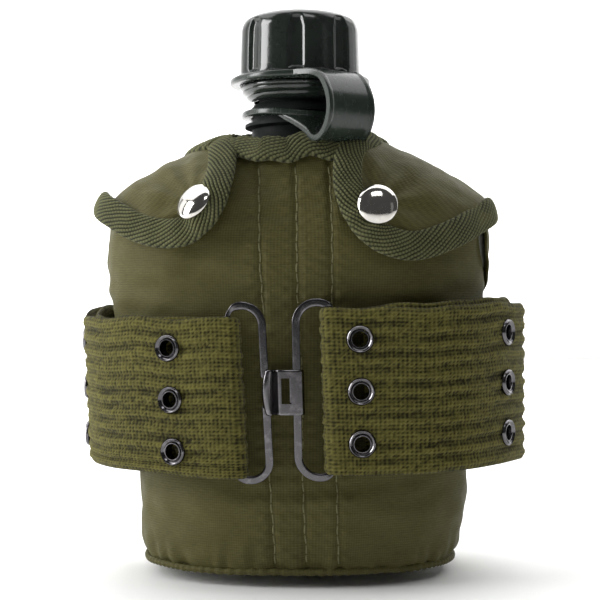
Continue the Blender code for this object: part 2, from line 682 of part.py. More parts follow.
def wire_mesh(centre, closed, sides=8):
    """Flattened wire along points in the plane y = constant."""
    centre = np.array(centre, float)
    if closed:
        along = np.roll(centre, -1, 0) - np.roll(centre, 1, 0)
    else:
        along = np.gradient(centre, axis=0)
    along /= np.linalg.norm(along, axis=1)[:, None]
    across = np.cross(along, (0, 1, 0))
    points = []
    for p, n in zip(centre, across):
        for k in range(sides):
            a = 2 * math.pi * k / sides
            depth = np.array([0, WIRE_THICKNESS / 2 * math.sin(a), 0])
            points.append(p + WIRE_WIDTH / 2 * math.cos(a) * n + depth)
    count = len(centre)
    faces = []
    for i in range(count if closed else count - 1):
        for k in range(sides):
            j, m = (i + 1) % count, (k + 1) % sides
            faces.append([i * sides + k, i * sides + m, j * sides + m, j * sides + k])
    if not closed:
        faces += [list(range(sides)), [(count - 1) * sides + k for k in range(sides)]]
    return points, faces


def loop_route(inner, hidden, split):
    """Loop with wide corners at its inner bar and tight ones in the fold, and a gap if it is split."""
    turn = math.copysign(1, inner - hidden)

    def corner(x, z, radius, start):
        return [(x + turn * radius * math.cos(a), BUCKLE_Y, z + radius * math.sin(a))
                for a in np.linspace(start, start + math.pi / 2, 6)]

    wide, tight = INNER_CORNER, HIDDEN_CORNER
    route = corner(inner - turn * wide, LOOP_HIGH - wide, wide, 0)
    route += corner(hidden + turn * tight, LOOP_HIGH - tight, tight, math.pi / 2)
    route += corner(hidden + turn * tight, LOOP_LOW + tight, tight, math.pi)
    route += corner(inner - turn * wide, LOOP_LOW + wide, wide, 1.5 * math.pi)
    if not split:
        return route
    ends = [(inner, BUCKLE_Y, BUCKLE_MIDDLE + sign * SPLIT_HEIGHT / 2) for sign in (1, -1)]
    return [ends[0], *route, ends[1]]


def make_buckle(looks):
    left_axis, right_axis = ((bars[1], BUCKLE_Y, BUCKLE_MIDDLE) for bars in (LEFT_BARS, RIGHT_BARS))
    left = add_pivot("buckle_left_axis", left_axis)
    right = add_pivot("buckle_right_axis", right_axis)
    add_mesh("buckle_loop_left", *wire_mesh(loop_route(*LEFT_BARS, True), False), looks["black_steel"],
             left_axis, left)
    add_mesh("buckle_loop_right", *wire_mesh(loop_route(*RIGHT_BARS, False), True), looks["black_steel"],
             right_axis, right)
    make_hook(looks, right)


def box_mesh(low, high):
    points = [(x, y, z) for x in (low[0], high[0]) for y in (low[1], high[1]) for z in (low[2], high[2])]
    return points, [[0, 1, 3, 2], [4, 6, 7, 5], [0, 4, 5, 1], [2, 3, 7, 6], [0, 2, 6, 4], [1, 5, 7, 3]]


def make_hook(looks, right):
    """Plate rolled round the right loop's bar, with a slot, and a T head whose ears catch the split bar."""
    bar = RIGHT_BARS[0]
    pivot = (bar, BUCKLE_Y, BUCKLE_MIDDLE)
    axis = add_pivot("hook_axis", pivot)
    axis.parent = right
    axis.location -= right.location
    low, high = BUCKLE_MIDDLE - HOOK_HEIGHT / 2, BUCKLE_MIDDLE + HOOK_HEIGHT / 2
    bore = WIRE_WIDTH / 2 + GAP
    sleeve = ring_profile(bore, bore + HOOK_STEEL, low, high)
    hook = add_mesh("buckle_hook", *turned_mesh(sleeve, 16, (bar, BUCKLE_Y, 0)), looks["black_steel"], pivot)
    hook.parent = axis
    hook.location = (0, 0, 0)
    back, front = BUCKLE_Y + HOOK_STEEL / 2, BUCKLE_Y - HOOK_STEEL / 2
    neck = (BUCKLE_MIDDLE - HOOK_NECK_HEIGHT / 2, BUCKLE_MIDDLE + HOOK_NECK_HEIGHT / 2)
    face = BUCKLE_Y - WIRE_THICKNESS / 2 - GAP - 0.1
    ear = LEFT_BARS[0] - WIRE_WIDTH / 2 - GAP - 0.1
    bar_side = LEFT_BARS[0] + WIRE_WIDTH / 2 + 0.6
    steps = {
        "hook_plate": ((bar_side, front, low), (bar - bore - 0.3, back, high)),
        "hook_neck": ((ear - 0.8, front, neck[0]), (bar_side + 0.5, back, neck[1])),
        "hook_rise": ((bar_side - 0.2, face - HOOK_STEEL, neck[0]),
                      (bar_side + HOOK_STEEL, front + 0.3, neck[1])),
        "hook_head": ((ear - HOOK_STEEL, face - HOOK_STEEL, low), (bar_side, face, high)),
        "hook_ears": ((ear - HOOK_STEEL, face - 0.3, low), (ear, back + 0.2, high)),
    }
    for name, corners in steps.items():
        combine(hook, add_mesh(name, *box_mesh(*corners)), "UNION")
    slot = add_mesh("hook_slot", *box_mesh((HOOK_SLOT[0], BUCKLE_Y - 3, BUCKLE_MIDDLE - HOOK_SLOT[2]),
                                           (HOOK_SLOT[1], BUCKLE_Y + 3, BUCKLE_MIDDLE + HOOK_SLOT[2])))
    combine(hook, slot, "DIFFERENCE")


# ---- keepers ----


def strip_mesh(route, half_width, thickness, x):
    """Flat strip, square to X, along a route of (y, z) points."""
    route = np.array(route, float)
    along = tangents(route)
    normal = np.stack([along[:, 1], -along[:, 0]], axis=1) * thickness / 2
    layers = []
    for sign in (1, -1):
        edge = route + sign * normal
        layers.append(np.array([[(x + w, y, z) for y, z in edge] for w in (-half_width, half_width)]))
    return shell_mesh(*layers)


def make_keepers(looks):
    """Two steel keepers that grip the belt, on webbing tabs sewn to the back panel, each shut by a slide."""
    bend = (KEEPER_OUTER - KEEPER_INNER) / 2
    middle = (KEEPER_OUTER + KEEPER_INNER) / 2
    arc = [(middle - bend * math.cos(a), KEEPER_HIGH - bend + bend * math.sin(a))
           for a in np.linspace(0, math.pi, 9)]
    frame = [(KEEPER_INNER, KEEPER_LOW), *arc, (KEEPER_OUTER, KEEPER_LOW)]
    slide = [(KEEPER_INNER - 1.5, KEEPER_LOW + 5.0), (KEEPER_INNER - 1.5, KEEPER_LOW - 1.6),
             (KEEPER_OUTER + 1.5, KEEPER_LOW - 1.6), (KEEPER_OUTER + 1.5, KEEPER_LOW + 5.0)]
    for name, x in (("left", -KEEPER_X), ("right", KEEPER_X)):
        add_mesh(f"keeper_{name}", *strip_mesh(frame, KEEPER_WIDTH / 2, KEEPER_STEEL, x),
                 looks["black_steel"])
        pivot = (x, middle, KEEPER_LOW)
        add_mesh(f"keeper_slide_{name}", *strip_mesh(slide, KEEPER_WIDTH / 2 + 1.0, KEEPER_STEEL, x),
                 looks["black_steel"], pivot, add_pivot(f"keeper_slide_{name}_rail", pivot))
        add_mesh(f"keeper_tab_{name}",
                 *box_mesh((x - 9.0, 36.6, KEEPER_LOW + 12.0), (x + 9.0, KEEPER_INNER - 1.0, 104.0)),
                 looks["belt_cotton"])


def main():
    clear_scene()
    looks = make_materials()
    lift = add_pivot("cap_lift", (0, 0, 175.1))
    make_bottle(looks)
    make_cap(looks, lift)
    make_strap(looks, lift)
    make_cover_shells(looks)
    make_piping(looks)
    make_neck_bindings(looks)
    for side in ("left", "right"):
        make_flap(side, looks)
    make_belt(looks)
    make_buckle(looks)
    make_keepers(looks)


main()
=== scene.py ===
"""Looks of the canteen: cloth, webbing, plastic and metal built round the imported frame.

Sizes and places are in millimetres, as in the part itself, and piece() turns them into metres.
"""

import json
import math

import bmesh
import bpy
import numpy as np
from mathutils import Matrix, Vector, noise


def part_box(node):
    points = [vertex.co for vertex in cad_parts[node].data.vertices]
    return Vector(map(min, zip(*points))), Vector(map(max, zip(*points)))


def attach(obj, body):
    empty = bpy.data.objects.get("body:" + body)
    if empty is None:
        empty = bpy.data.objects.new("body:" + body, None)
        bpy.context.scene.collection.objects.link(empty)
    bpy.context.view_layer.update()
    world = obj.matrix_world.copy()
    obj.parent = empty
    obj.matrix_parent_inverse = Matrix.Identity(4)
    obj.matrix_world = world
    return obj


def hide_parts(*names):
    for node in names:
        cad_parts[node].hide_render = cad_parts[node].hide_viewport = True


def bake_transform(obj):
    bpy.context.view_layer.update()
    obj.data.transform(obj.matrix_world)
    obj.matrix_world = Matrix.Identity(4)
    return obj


MM = 0.001
CANTEEN = "canteen"
SIDES = ("left", "right")

# Cover's outer surface: height, half width, front depth, back depth
BODY_SECTIONS = [
    (0.0, 51.0, 34.4, 29.4),
    (2.0, 55.6, 37.6, 32.4),
    (7.0, 58.5, 39.8, 34.4),
    (20.0, 60.2, 41.0, 35.5),
    (36.0, 61.3, 39.4, 35.6),
    (60.0, 64.4, 39.2, 36.0),
    (90.0, 67.8, 38.8, 36.0),
    (112.0, 70.2, 38.0, 35.5),
    (122.0, 69.4, 36.2, 34.2),
    (128.0, 66.8, 34.4, 32.4),
    (134.0, 60.5, 32.2, 30.2),
    (140.0, 51.5, 29.6, 28.0),
    (146.0, 40.5, 26.6, 25.6),
    (151.0, 29.6, 23.6, 22.6),
    (154.5, 22.5, 21.0, 20.5),
    (159.0, 19.6, 19.6, 19.6),
]
SQUARE_FRONT, SQUARE_BACK = 2.3, 3.0  # superellipse powers of its two halves
FULL_RIGHT, SLIM_LEFT = 0.004, 0.040  # how much fuller and slimmer the two sides are, low down
SEAM_GAP = math.radians(1.6)
SEAM_BACK = 0.05  # how far behind the side the side seams lie, in radians
CLOTH_THICKNESS = 1.0

# Bottle and cap
BOTTLE_INSET, BOTTLE_WALL = 3.4, 2.0  # the bottle's outside below the cover's, and its wall
BOTTLE_SEGMENTS = 96
NECK_PROFILE = [(18.6, 154.6), (17.8, 155.8), (17.8, 157.7), (18.6, 158.0), (20.4, 158.5), (20.4, 159.6),
                (17.7, 159.8), (17.7, 162.9), (19.9, 163.2), (19.7, 164.0), (17.0, 166.9), (15.2, 167.2),
                (15.2, 193.9), (14.7, 194.5)]
MOUTH_RADIUS = 13.0
THREAD_PITCH = 5.0
CAP_LOBES = 8
CAP_SEGMENTS = CAP_LOBES * 44
CAP_TOP = 200.0
FLUTE_ANGLE = math.radians(-3.4)
CAP_PROFILE = [(17.0, 168.1), (17.5, 167.7), (18.2, 167.7), (19.2, 168.3), (19.9, 169.2), (19.9, 169.7),
               (20.6, 170.0), (21.3, 170.8), (21.6, 171.4), (21.5, 171.8), (22.1, 172.3), (22.4, 172.9),
               (22.2, 173.4), (20.2, 173.6), (20.2, 176.6), (22.3, 176.8), (22.5, 177.4), (22.7, 179.2),
               (22.55, 186.0), (22.25, 194.0), (21.8, 195.8), (20.9, 197.5), (19.4, 198.6), (17.4, 199.4),
               (14.0, 199.85), (9.0, CAP_TOP), (4.0, CAP_TOP)]

# Retaining strap
STRAP_DIRECTION = math.radians(-54)
STRAP_SHIFT = -5.0  # how far the strap's middle runs beside the bottle's axis
STRAP_WIDTH, STRAP_THICKNESS = 20.0, 2.5
STRAP_FLARE = 3.2  # how much wider each side of the strap is where it joins a ring
CAP_RING = (20.6, 26.0, 173.9, 176.5)  # inner and outer radius, lowest and highest point
NECK_RING = (18.1, 21.7, 160.0, 162.4)
STRAP_ROUTE = [(23.4, 174.9), (26.2, 175.2), (29.0, 174.6), (32.0, 172.5), (34.8, 168.9), (36.6, 164.5),
               (36.8, 160.0), (35.4, 155.8), (32.6, 152.5), (29.2, 151.3), (26.2, 152.4), (23.4, 155.6),
               (20.6, 159.6), (19.9, 161.2)]

# Flaps: lower edge in the front view (x, z), from the neck side to the outer tip
FLAP_EDGES = {
    "left": [(-23.6, 153.0), (-22.8, 148.0), (-22.6, 142.5), (-23.0, 135.5), (-24.9, 127.6), (-29.2, 120.0),
             (-37.0, 114.6), (-46.5, 113.4), (-57.4, 115.8), (-67.0, 121.4), (-73.5, 126.6)],
    "right": [(16.5, 153.0), (13.0, 148.0), (11.9, 141.5), (12.3, 132.0), (15.7, 122.8), (22.4, 114.6),
              (31.8, 109.9), (41.6, 109.4), (53.0, 113.2), (63.6, 118.6), (72.0, 124.0)],
}
FLAP_STAND = (3.0, 2.6)  # how far the flaps' surface stands outside the cover, sideways and forwards
FLAP_BACK = 0.30  # how far behind the side the flaps reach, in radians
# Heights where each flap starts behind the shoulder, at these shares of its edge
RIDGE_SHARES = (0, 0.12, 0.35, 0.7, 1.0)
RIDGES = {"left": (149.4, 150.0, 148.2, 141.0, 131.6), "right": (156.4, 155.4, 151.4, 142.6, 133.8)}
FLAP_TIPS = {"left": 3.2, "right": -0.9}  # how far each flap's tip stands out
SNAP_RADIUS = 7.1
SNAP_PULL = {"left": -1.5, "right": 0.2}  # how far the cloth stands out at each snap
SNAP_AXES = {"left": (-0.56, -0.66, 0.50), "right": (0.06, -0.97, 0.22)}  # the way each snap faces
SNAP_DOME = [(0.02, 2.55), (2.0, 2.45), (4.0, 2.05), (5.6, 1.45), (6.5, 0.85), (6.95, 0.35),
             (SNAP_RADIUS, -0.1), (6.95, -0.45)]
SNAP_UNDERSIDE = [(6.5, -0.6), (0.02, -0.6)]

# Binding tape
TAPE_WIDTH, TAPE_HEIGHT = 10.2, 2.0
TAPE_SAMPLES = 84  # points round the tape's section
RIB_PITCH, YARN_PITCH = 1.3, 1.3  # from rib to rib, and from yarn to yarn along a rib
RIB_SLANT = math.radians(26)
TIP_NARROWING = {"left": 0.5, "right": 0.12}  # how much each flap's tape narrows at its ends

# Belt
BELT_LOW, BELT_HIGH = 36.4, 92.4
BELT_WIDTH = BELT_HIGH - BELT_LOW
BELT_THICKNESS = 2.6
BELT_FRONT, BELT_INNER_FRONT = -47.4, -41.6  # middles of the outer layer and of the tail, at the buckle
BELT_BACK = 43.4
BELT_ROUTE = [(11.2, BELT_FRONT), (30.0, -47.3), (46.0, -45.6), (61.0, -39.8), (73.2, -28.2), (79.8, -12.5),
              (81.0, 4.0), (77.6, 19.0), (69.0, 31.6), (55.5, 40.4), (38.0, BELT_BACK), (18.0, BELT_BACK),
              (0.0, BELT_BACK), (-18.0, BELT_BACK), (-36.0, BELT_BACK), (-54.0, 40.4), (-67.0, 31.6),
              (-75.0, 19.0), (-77.8, 4.5), (-76.0, -10.0), (-69.5, -23.0), (-57.5, -34.0), (-43.0, -41.8),
              (-31.0, -46.2), (-22.2, BELT_FRONT)]
TAIL_LENGTH, TAIL_OFFSET = 118.0, 3.9  # how long the tails are, and how far they lie behind the outer layer
TAIL_RISE = {"left": 0.6, "right": 3.4}  # how far the end of each tail stands above the belt's middle
BELT_ROWS = 44  # weave cells across the belt
RIB_ROWS = 4  # weave cells in each rib
CELL_LENGTH = 1.5  # of a weave cell, along the belt
HOLE_RADIUS, HOLE_REACH = 3.4, 7.0  # an eyelet's hole, and how far from its middle it cuts
EYELET_RIM = [(2.55, -2.2), (2.55, 1.5), (2.7, 1.85), (2.95, 1.85), (3.15, 1.5), (3.35, 1.6), (3.7, 2.2),
              (4.1, 2.4), (4.5, 2.1), (4.75, 1.45), (4.7, 1.2), (3.5, 1.2), (3.4, 1.0), (3.4, -1.2),
              (4.1, -1.5), (4.3, -1.75), (4.1, -2.2)]

# Yarns across and along the keepers' tabs
TAB_YARNS = (12, 40)

# Buckle
LEFT_BARS, RIGHT_BARS = (-11.6, -23.2), (-1.0, 11.9)  # each loop's inner bar, and its bar in the fold
LOOP_SPANS = {"left": (34.5, 93.3), "right": (35.4, 94.4)}  # lowest and highest middle of the wire
WIRE_WIDTH, WIRE_THICKNESS = 2.8, 1.9
BUCKLE_Y = (BELT_FRONT + BELT_INNER_FRONT) / 2
BUCKLE_MIDDLE = 64.4
SPLIT_HEIGHT = 9.0  # of the gap in the left loop's inner bar
LEFT_LEAN, RIGHT_LEAN = 0.055, 0.056  # how much the belt's ends lean, with their loops
SLIM_IN_FOLD = 0.42  # how much thinner the wire is inside the belt's fold
HOOK_STEEL = 0.9
HOOK_HALF, LIP_HALF = 7.6, 3.4  # half heights of the hook plate and of its lip
HOOK_SLOT = (-6.3, -3.0, 4.3)  # left and right ends, half height

# Stitching
STITCH_LINES = ((-14.6, -9.9), (-1.7, 1.4), (10.2, 12.8))  # x at the neck's height and near the bottom
STITCH_HEIGHTS = (137.0, 30.0)
STITCH_PITCH, STITCH_LENGTH, THREAD_RADIUS = 3.6, 3.45, 0.25

# Studio, in metres and watts. Each light panel: name, place, aim, size, power
SWEEP_PROFILE = [(-1.6, 0.0), (0.9, 0.0), (1.15, 0.05), (1.3, 0.2), (1.35, 0.45), (1.35, 2.6)]
SWEEP_HALF = 2.6
LIGHT_PANELS = [
    ("key", (-0.92, -0.20, 0.42), (0, 0, 0.1), (0.34, 0.7), 8.4),
    ("window", (0.12, -0.62, 0.95), (0, 0, 0.1), (0.42, 0.22), 1.05),
    ("fill", (0.85, -0.65, 0.35), (0, 0, 0.1), (0.18, 0.5), 0.05),
    ("top", (0.0, 0.75, 1.5), (0, 0.35, 0), (3.6, 2.2), 54.0),
    ("backdrop", (0.0, 0.60, 0.85), (0, 1.35, 0.2), (2.4, 0.3), 24.0),
    ("rim_left", (-0.85, 0.25, 0.35), (0, 0, 0.1), (0.3, 0.7), 1.0),
    ("rim_right", (0.85, 0.35, 0.40), (0, 0, 0.1), (0.3, 0.7), 0.6),
]
WORLD_LIGHT = 0.075
LENS, SENSOR, CAMERA_SHIFT = 76.7, 36.0, -0.009  # the camera's, in its own millimetres
CAMERA_PLACE = (0, -0.475, 0.097)


# ---- curves and noise ----


def smooth(x, low, high):
    t = np.clip((np.asarray(x, float) - low) / (high - low), 0, 1)
    return t * t * (3 - 2 * t)


def between(x, low, high, fall, end):
    """Rises from 0 to 1 over the first range, and falls back to 0 over the second."""
    return smooth(x, low, high) * (1 - smooth(x, fall, end))


def bell(x, middle, width):
    return np.exp(-(((x - middle) / width) ** 2))


def full_turn(count):
    return np.linspace(0, 2 * math.pi, count, endpoint=False)


def squared(value, power):
    """Sine or cosine of a superellipse: 2 leaves a circle, and more makes it squarer."""
    return np.sign(value) * np.abs(value) ** (2 / power)


def spline(points, per_span):
    """Smooth curve through the points."""
    p = np.array(points, float)
    p = np.vstack([2 * p[0] - p[1], p, 2 * p[-1] - p[-2]])
    curve = []
    for i in range(1, len(p) - 2):
        a, b, c, d = p[i - 1:i + 3]
        for t in np.linspace(0, 1, per_span, endpoint=False):
            curve.append(0.5 * (2 * b + (c - a) * t + (2 * a - 5 * b + 4 * c - d) * t**2
                                + (3 * b - a - 3 * c + d) * t**3))
    return np.array(curve + [p[-2]])


def lengths_along(points):
    return np.concatenate([[0], np.cumsum(np.linalg.norm(np.diff(points, axis=0), axis=1))])


def interpolated(at, known, rows):
    """Rows of numbers that are known at these places, read off at others."""
    return np.array([np.interp(at, known, column) for column in rows.T]).T


def at_length(points, distance):
    return interpolated(distance, lengths_along(points), points)


def resample(points, step):
    total = lengths_along(points)[-1]
    return at_length(points, np.linspace(0, total, max(3, round(total / step) + 1)))


def unit(v):
    return v / np.maximum(np.linalg.norm(v, axis=-1, keepdims=True), 1e-9)


def tangents(points, closed=False):
    if closed:
        return unit(np.roll(points, -1, 0) - np.roll(points, 1, 0))
    return unit(np.gradient(points, axis=0))


def right_of(points):
    """Directions to the right of a flat route."""
    along = tangents(points)
    return np.stack([along[:, 1], -along[:, 0]], axis=1)


def noise_at(places):
    return np.array([noise.noise(Vector(place)) for place in places])


def rough(points, size, seed=0.0):
    """Smooth noise from -1 to 1 at each point, with lumps of this size."""
    flat = points.reshape(-1, points.shape[-1])
    if flat.shape[1] == 2:
        flat = np.column_stack([flat, np.zeros(len(flat))])
    values = noise_at((x / size + seed, y / size, z / size) for x, y, z in flat)
    return values.reshape(points.shape[:-1])


# ---- meshes ----


def piece(name, vertices, faces, look, slot, body=CANTEEN, replaced=(), uv=None, relief=None, sharp=None):
    mesh = bpy.data.meshes.new(name)
    mesh.from_pydata((np.asarray(vertices, float) * MM).tolist(), [], faces)
    obj = bpy.data.objects.new(name, mesh)
    bpy.context.scene.collection.objects.link(obj)
    work = bmesh.new()
    work.from_mesh(mesh)
    bmesh.ops.recalc_face_normals(work, faces=work.faces)
    work.to_mesh(mesh)
    work.free()
    mesh.shade_smooth()
    if sharp:
        mesh.set_sharp_from_angle(angle=math.radians(sharp))
    if uv is not None:
        corners = np.zeros(len(mesh.loops), np.int32)
        mesh.loops.foreach_get("vertex_index", corners)
        layer = mesh.uv_layers.new(name="cloth")
        layer.data.foreach_set("uv", np.asarray(uv, np.float32)[corners].ravel())
    # the relief attribute sets the yarn looks' colour, with painted shade where it is low
    if relief is not None:
        mesh.attributes.new("relief", "FLOAT", "POINT").data.foreach_set("value", relief.astype(np.float32))
    mesh.materials.append(look)
    if replaced:
        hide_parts(*replaced)
    if body:
        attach(obj, body)
    return obj


def grid_faces(rows, columns, wrap_rows=False, wrap_columns=False):
    faces = []
    for r in range(rows if wrap_rows else rows - 1):
        a, b = r * columns, ((r + 1) % rows) * columns
        for c in range(columns if wrap_columns else columns - 1):
            n = (c + 1) % columns
            faces.append((a + c, a + n, b + n, b + c))
    return faces


def shell(outer, inner, keep=None):
    """Closed solid between two matching grids of points. keep is False for the cells that are holes.

    Returns its points, its faces, and which of the two grids' points it uses.
    """
    rows, columns = outer.shape[:2]
    count = rows * columns
    kept = np.zeros((rows + 1, columns + 1), bool)
    kept[1:-1, 1:-1] = True if keep is None else keep
    index = np.arange(count).reshape(rows, columns)
    r, c = np.nonzero(kept[1:-1, 1:-1])
    quads = np.stack([index[r, c], index[r, c + 1], index[r + 1, c + 1], index[r + 1, c]], axis=1)
    faces = quads.tolist() + (quads[:, ::-1] + count).tolist()
    across = np.nonzero(kept[:-1, 1:-1] != kept[1:, 1:-1])
    along = np.nonzero(kept[1:-1, :-1] != kept[1:-1, 1:])
    for edges, (down, right) in ((across, (0, 1)), (along, (1, 0))):
        for r, c in zip(*edges):
            a, b = index[r, c], index[r + down, c + right]
            faces.append((a, b, b + count, a + count))
    used, renumbered = np.unique(np.array(faces), return_inverse=True)
    points = np.vstack([outer.reshape(-1, 3), inner.reshape(-1, 3)])
    return points[used], renumbered.reshape(-1, 4).tolist(), used


def rounded_edge(v, start, end, least):
    """Share of a sheet's thickness across it: 1 in the middle, falling in a quarter round to each edge."""
    into = ((np.abs(v) - start) / (end - start)).clip(0)
    return np.sqrt(np.clip(1 - into**2, least, 1))[:, None]


def both(values):
    """Values of a grid's points, repeated for its inner face."""
    flat = np.asarray(values, float).reshape(-1, *np.shape(values)[2:])
    return np.concatenate([flat, flat])


def vessel(rings, closed=False):
    """Closed solid from a row of rings, capped at both ends or, when closed, joined end to end."""
    rows, columns = rings.shape[:2]
    faces = grid_faces(rows, columns, wrap_rows=closed, wrap_columns=True)
    if not closed:
        faces += [tuple(range(columns)), tuple((rows - 1) * columns + c for c in range(columns))]
    return rings.reshape(-1, 3), faces


def turned(profile, segments, ripple=None, closed=True):
    """A (radius, height) profile turned round Z: a closed outline, or a line whose two ends are capped."""
    profile = np.array(profile, float)
    angles = full_turn(segments)
    radius = np.repeat(profile[None, :, 0], segments, axis=0)
    height = np.repeat(profile[None, :, 1], segments, axis=0)
    if ripple:
        radius = ripple(angles[:, None], radius, height)
    points = np.stack([radius * np.cos(angles)[:, None], radius * np.sin(angles)[:, None], height], axis=2)
    faces = grid_faces(segments, len(profile), wrap_rows=True, wrap_columns=closed)
    if not closed:
        for end in (0, len(profile) - 1):
            faces.append(tuple(s * len(profile) + end for s in range(segments)))
    return points.reshape(-1, 3), faces


def placed(points, centre, axis):
    """Points turned from Z to the axis and moved to the centre."""
    turn = np.array(Vector((0, 0, 1)).rotation_difference(Vector(axis)).to_matrix())
    return np.asarray(points) @ turn.T + np.array(centre, float)


def sweep(route, section, across, up, closed=False, size=1.0):
    """A closed (across, up) section carried along a route with these side directions, scaled by size."""
    offsets = section[None, :, 0, None] * across[:, None, :] + section[None, :, 1, None] * up[:, None, :]
    return vessel(route[:, None, :] + offsets * np.reshape(size, (-1, 1, 1)), closed)


def rounded_section(width, height, power, count):
    """Superellipse section, from 2 for an oval to a high power for a rounded rectangle."""
    a = np.linspace(0, 2 * math.pi, 40 * count + 1)
    half = (width / 2, height / 2)
    outline = half * np.column_stack([squared(np.cos(a), power), squared(np.sin(a), power)])
    return at_length(outline, np.linspace(0, lengths_along(outline)[-1], count, endpoint=False))


# ---- body surface ----

DENSE = spline(BODY_SECTIONS, 12)


def section_at(z):
    return [np.interp(z, DENSE[:, 0], DENSE[:, k]) for k in (1, 2, 3)]


def exponents(z):
    share = np.clip((z - 118.0) / 36.0, 0, 1)
    return SQUARE_FRONT + (2 - SQUARE_FRONT) * share, SQUARE_BACK + (2 - SQUARE_BACK) * share


def hull_points(angle, z, stand):
    width, front, back = section_at(z)
    n_front, n_back = exponents(z)
    c, s = np.cos(angle), np.sin(angle)
    n = np.where(s < 0, n_front, n_back)
    depth = np.where(s < 0, front, back) + stand[1]
    sag = 1 - smooth(np.abs(z - 32.0), 6, 30)
    width = width * (1 + FULL_RIGHT * smooth(c, 0, 1) * sag - SLIM_LEFT * smooth(-c, 0, 1) * sag)
    return np.stack([(width + stand[0]) * squared(c, n), depth * squared(s, n), z], axis=-1)


def hull(angle, z, lift=0.0, stand=(0.0, 0.0)):
    """Points over the body at these angles and heights, lifted off it along its normal."""
    angle, z = np.broadcast_arrays(np.asarray(angle, float), np.asarray(z, float))
    step = 0.01
    base = hull_points(angle, z, stand)
    around = hull_points(angle + step, z, stand) - hull_points(angle - step, z, stand)
    upward = hull_points(angle, z + 0.3, stand) - hull_points(angle, z - 0.3, stand)
    normal = unit(np.cross(around, upward))
    return base + normal * np.asarray(lift)[..., None], normal


def hull_rings(count, heights, lift):
    """Rings over the body, one at each height."""
    return hull(full_turn(count), heights[:, None], lift)[0]


def front_angle(x, z, stand=(0.0, 0.0)):
    """Angle on the body's front at this x."""
    width = section_at(z)[0] + stand[0]
    n = exponents(z)[0]
    c = np.clip(np.abs(x) / width, 0, 1) ** (n / 2)
    return -np.arccos(np.sign(x) * c)


# ---- materials ----


def add(tree, kind, inputs=None, **settings):
    """Adds a shader node. An input is a value, or a socket to link."""
    node = tree.nodes.new("ShaderNode" + kind)
    for name, value in settings.items():
        setattr(node, name, value)
    for name, value in (inputs or {}).items():
        if isinstance(value, bpy.types.NodeSocket):
            tree.links.new(value, node.inputs[name])
        else:
            node.inputs[name].default_value = value
    return node


def principled(name, colour, roughness, metallic=0.0, **more):
    look = bpy.data.materials.new(name)
    look.use_nodes = True
    tree = look.node_tree
    shader = tree.nodes["Principled BSDF"]
    shader.inputs["Base Color"].default_value = (*colour, 1)
    shader.inputs["Roughness"].default_value = roughness
    shader.inputs["Metallic"].default_value = metallic
    for key, value in more.items():
        shader.inputs[key.replace("_", " ")].default_value = value
    return look, tree, shader


def noise_socket(tree, scale, detail=3.0, stretch=None):
    """Noise in object space. scale is in lumps per metre."""
    where = add(tree, "TexCoord").outputs["Object"]
    if stretch:
        where = add(tree, "Mapping", {"Vector": where, "Scale": stretch}).outputs["Vector"]
    return add(tree, "TexNoise", {"Vector": where, "Scale": scale, "Detail": detail}).outputs["Fac"]


def mixed(tree, share, first, second):
    """Colour between two colours, given as values or sockets."""
    node = add(tree, "Mix", {"Factor": share}, data_type="RGBA")
    for socket, colour in ((node.inputs[6], first), (node.inputs[7], second)):
        if isinstance(colour, bpy.types.NodeSocket):
            tree.links.new(colour, socket)
        else:
            socket.default_value = (*colour, 1)
    return node.outputs[2]


def coloured(tree, shader, share, first, second):
    tree.links.new(mixed(tree, share, first, second), shader.inputs["Base Color"])


def glossed(tree, shader, value, low, high):
    """Roughness between two values."""
    spread = add(tree, "MapRange", {"Value": value, "To Min": low, "To Max": high}).outputs["Result"]
    tree.links.new(spread, shader.inputs["Roughness"])


def layered(tree, layers, total):
    """Sum of each layer's value times its factor, added to a number or a socket."""
    for value, factor in layers:
        total = add(tree, "Math", {0: value, 1: factor, 2: total}, operation="MULTIPLY_ADD").outputs[0]
    return total


def bumped(tree, shader, height, strength, distance):
    node = add(tree, "Bump", {"Height": height, "Strength": strength, "Distance": distance})
    tree.links.new(node.outputs["Normal"], shader.inputs["Normal"])


def plastic_look(name, colour, roughness, coat, gloss=0.5):
    """Moulded plastic: faint mottling, flow marks in the gloss and handling scuffs."""
    look, tree, shader = principled(name, colour, roughness, Specular_IOR_Level=gloss, Coat_Weight=coat,
                                    Coat_Roughness=0.06)
    lighter = tuple(1.7 * c + 0.004 for c in colour)
    coloured(tree, shader, noise_socket(tree, 260.0), colour, lighter)
    scuffs = noise_socket(tree, 900.0, 6.0, stretch=(1, 1, 0.25))
    glossed(tree, shader, scuffs, roughness * 0.7, roughness * 1.6)
    bumped(tree, shader, noise_socket(tree, 700.0, 2.0), 0.05, 0.0004)
    return look


def metal_look(name, colour, roughness, wear):
    """Plated or blackened metal, with wear that shows brighter metal and uneven gloss."""
    look, tree, shader = principled(name, colour, roughness, 1.0)
    worn = add(tree, "ValToRGB", {"Fac": noise_socket(tree, 420.0, 6.0)})
    worn.color_ramp.elements[0].position, worn.color_ramp.elements[1].position = 0.52, 0.74
    bright = tuple(min(1.0, c * wear) for c in colour)
    coloured(tree, shader, worn.outputs["Color"], colour, bright)
    glossed(tree, shader, noise_socket(tree, 1500.0, 5.0), roughness * 0.7, roughness * 1.5)
    bumped(tree, shader, noise_socket(tree, 2600.0, 2.0), 0.04, 0.0002)
    return look


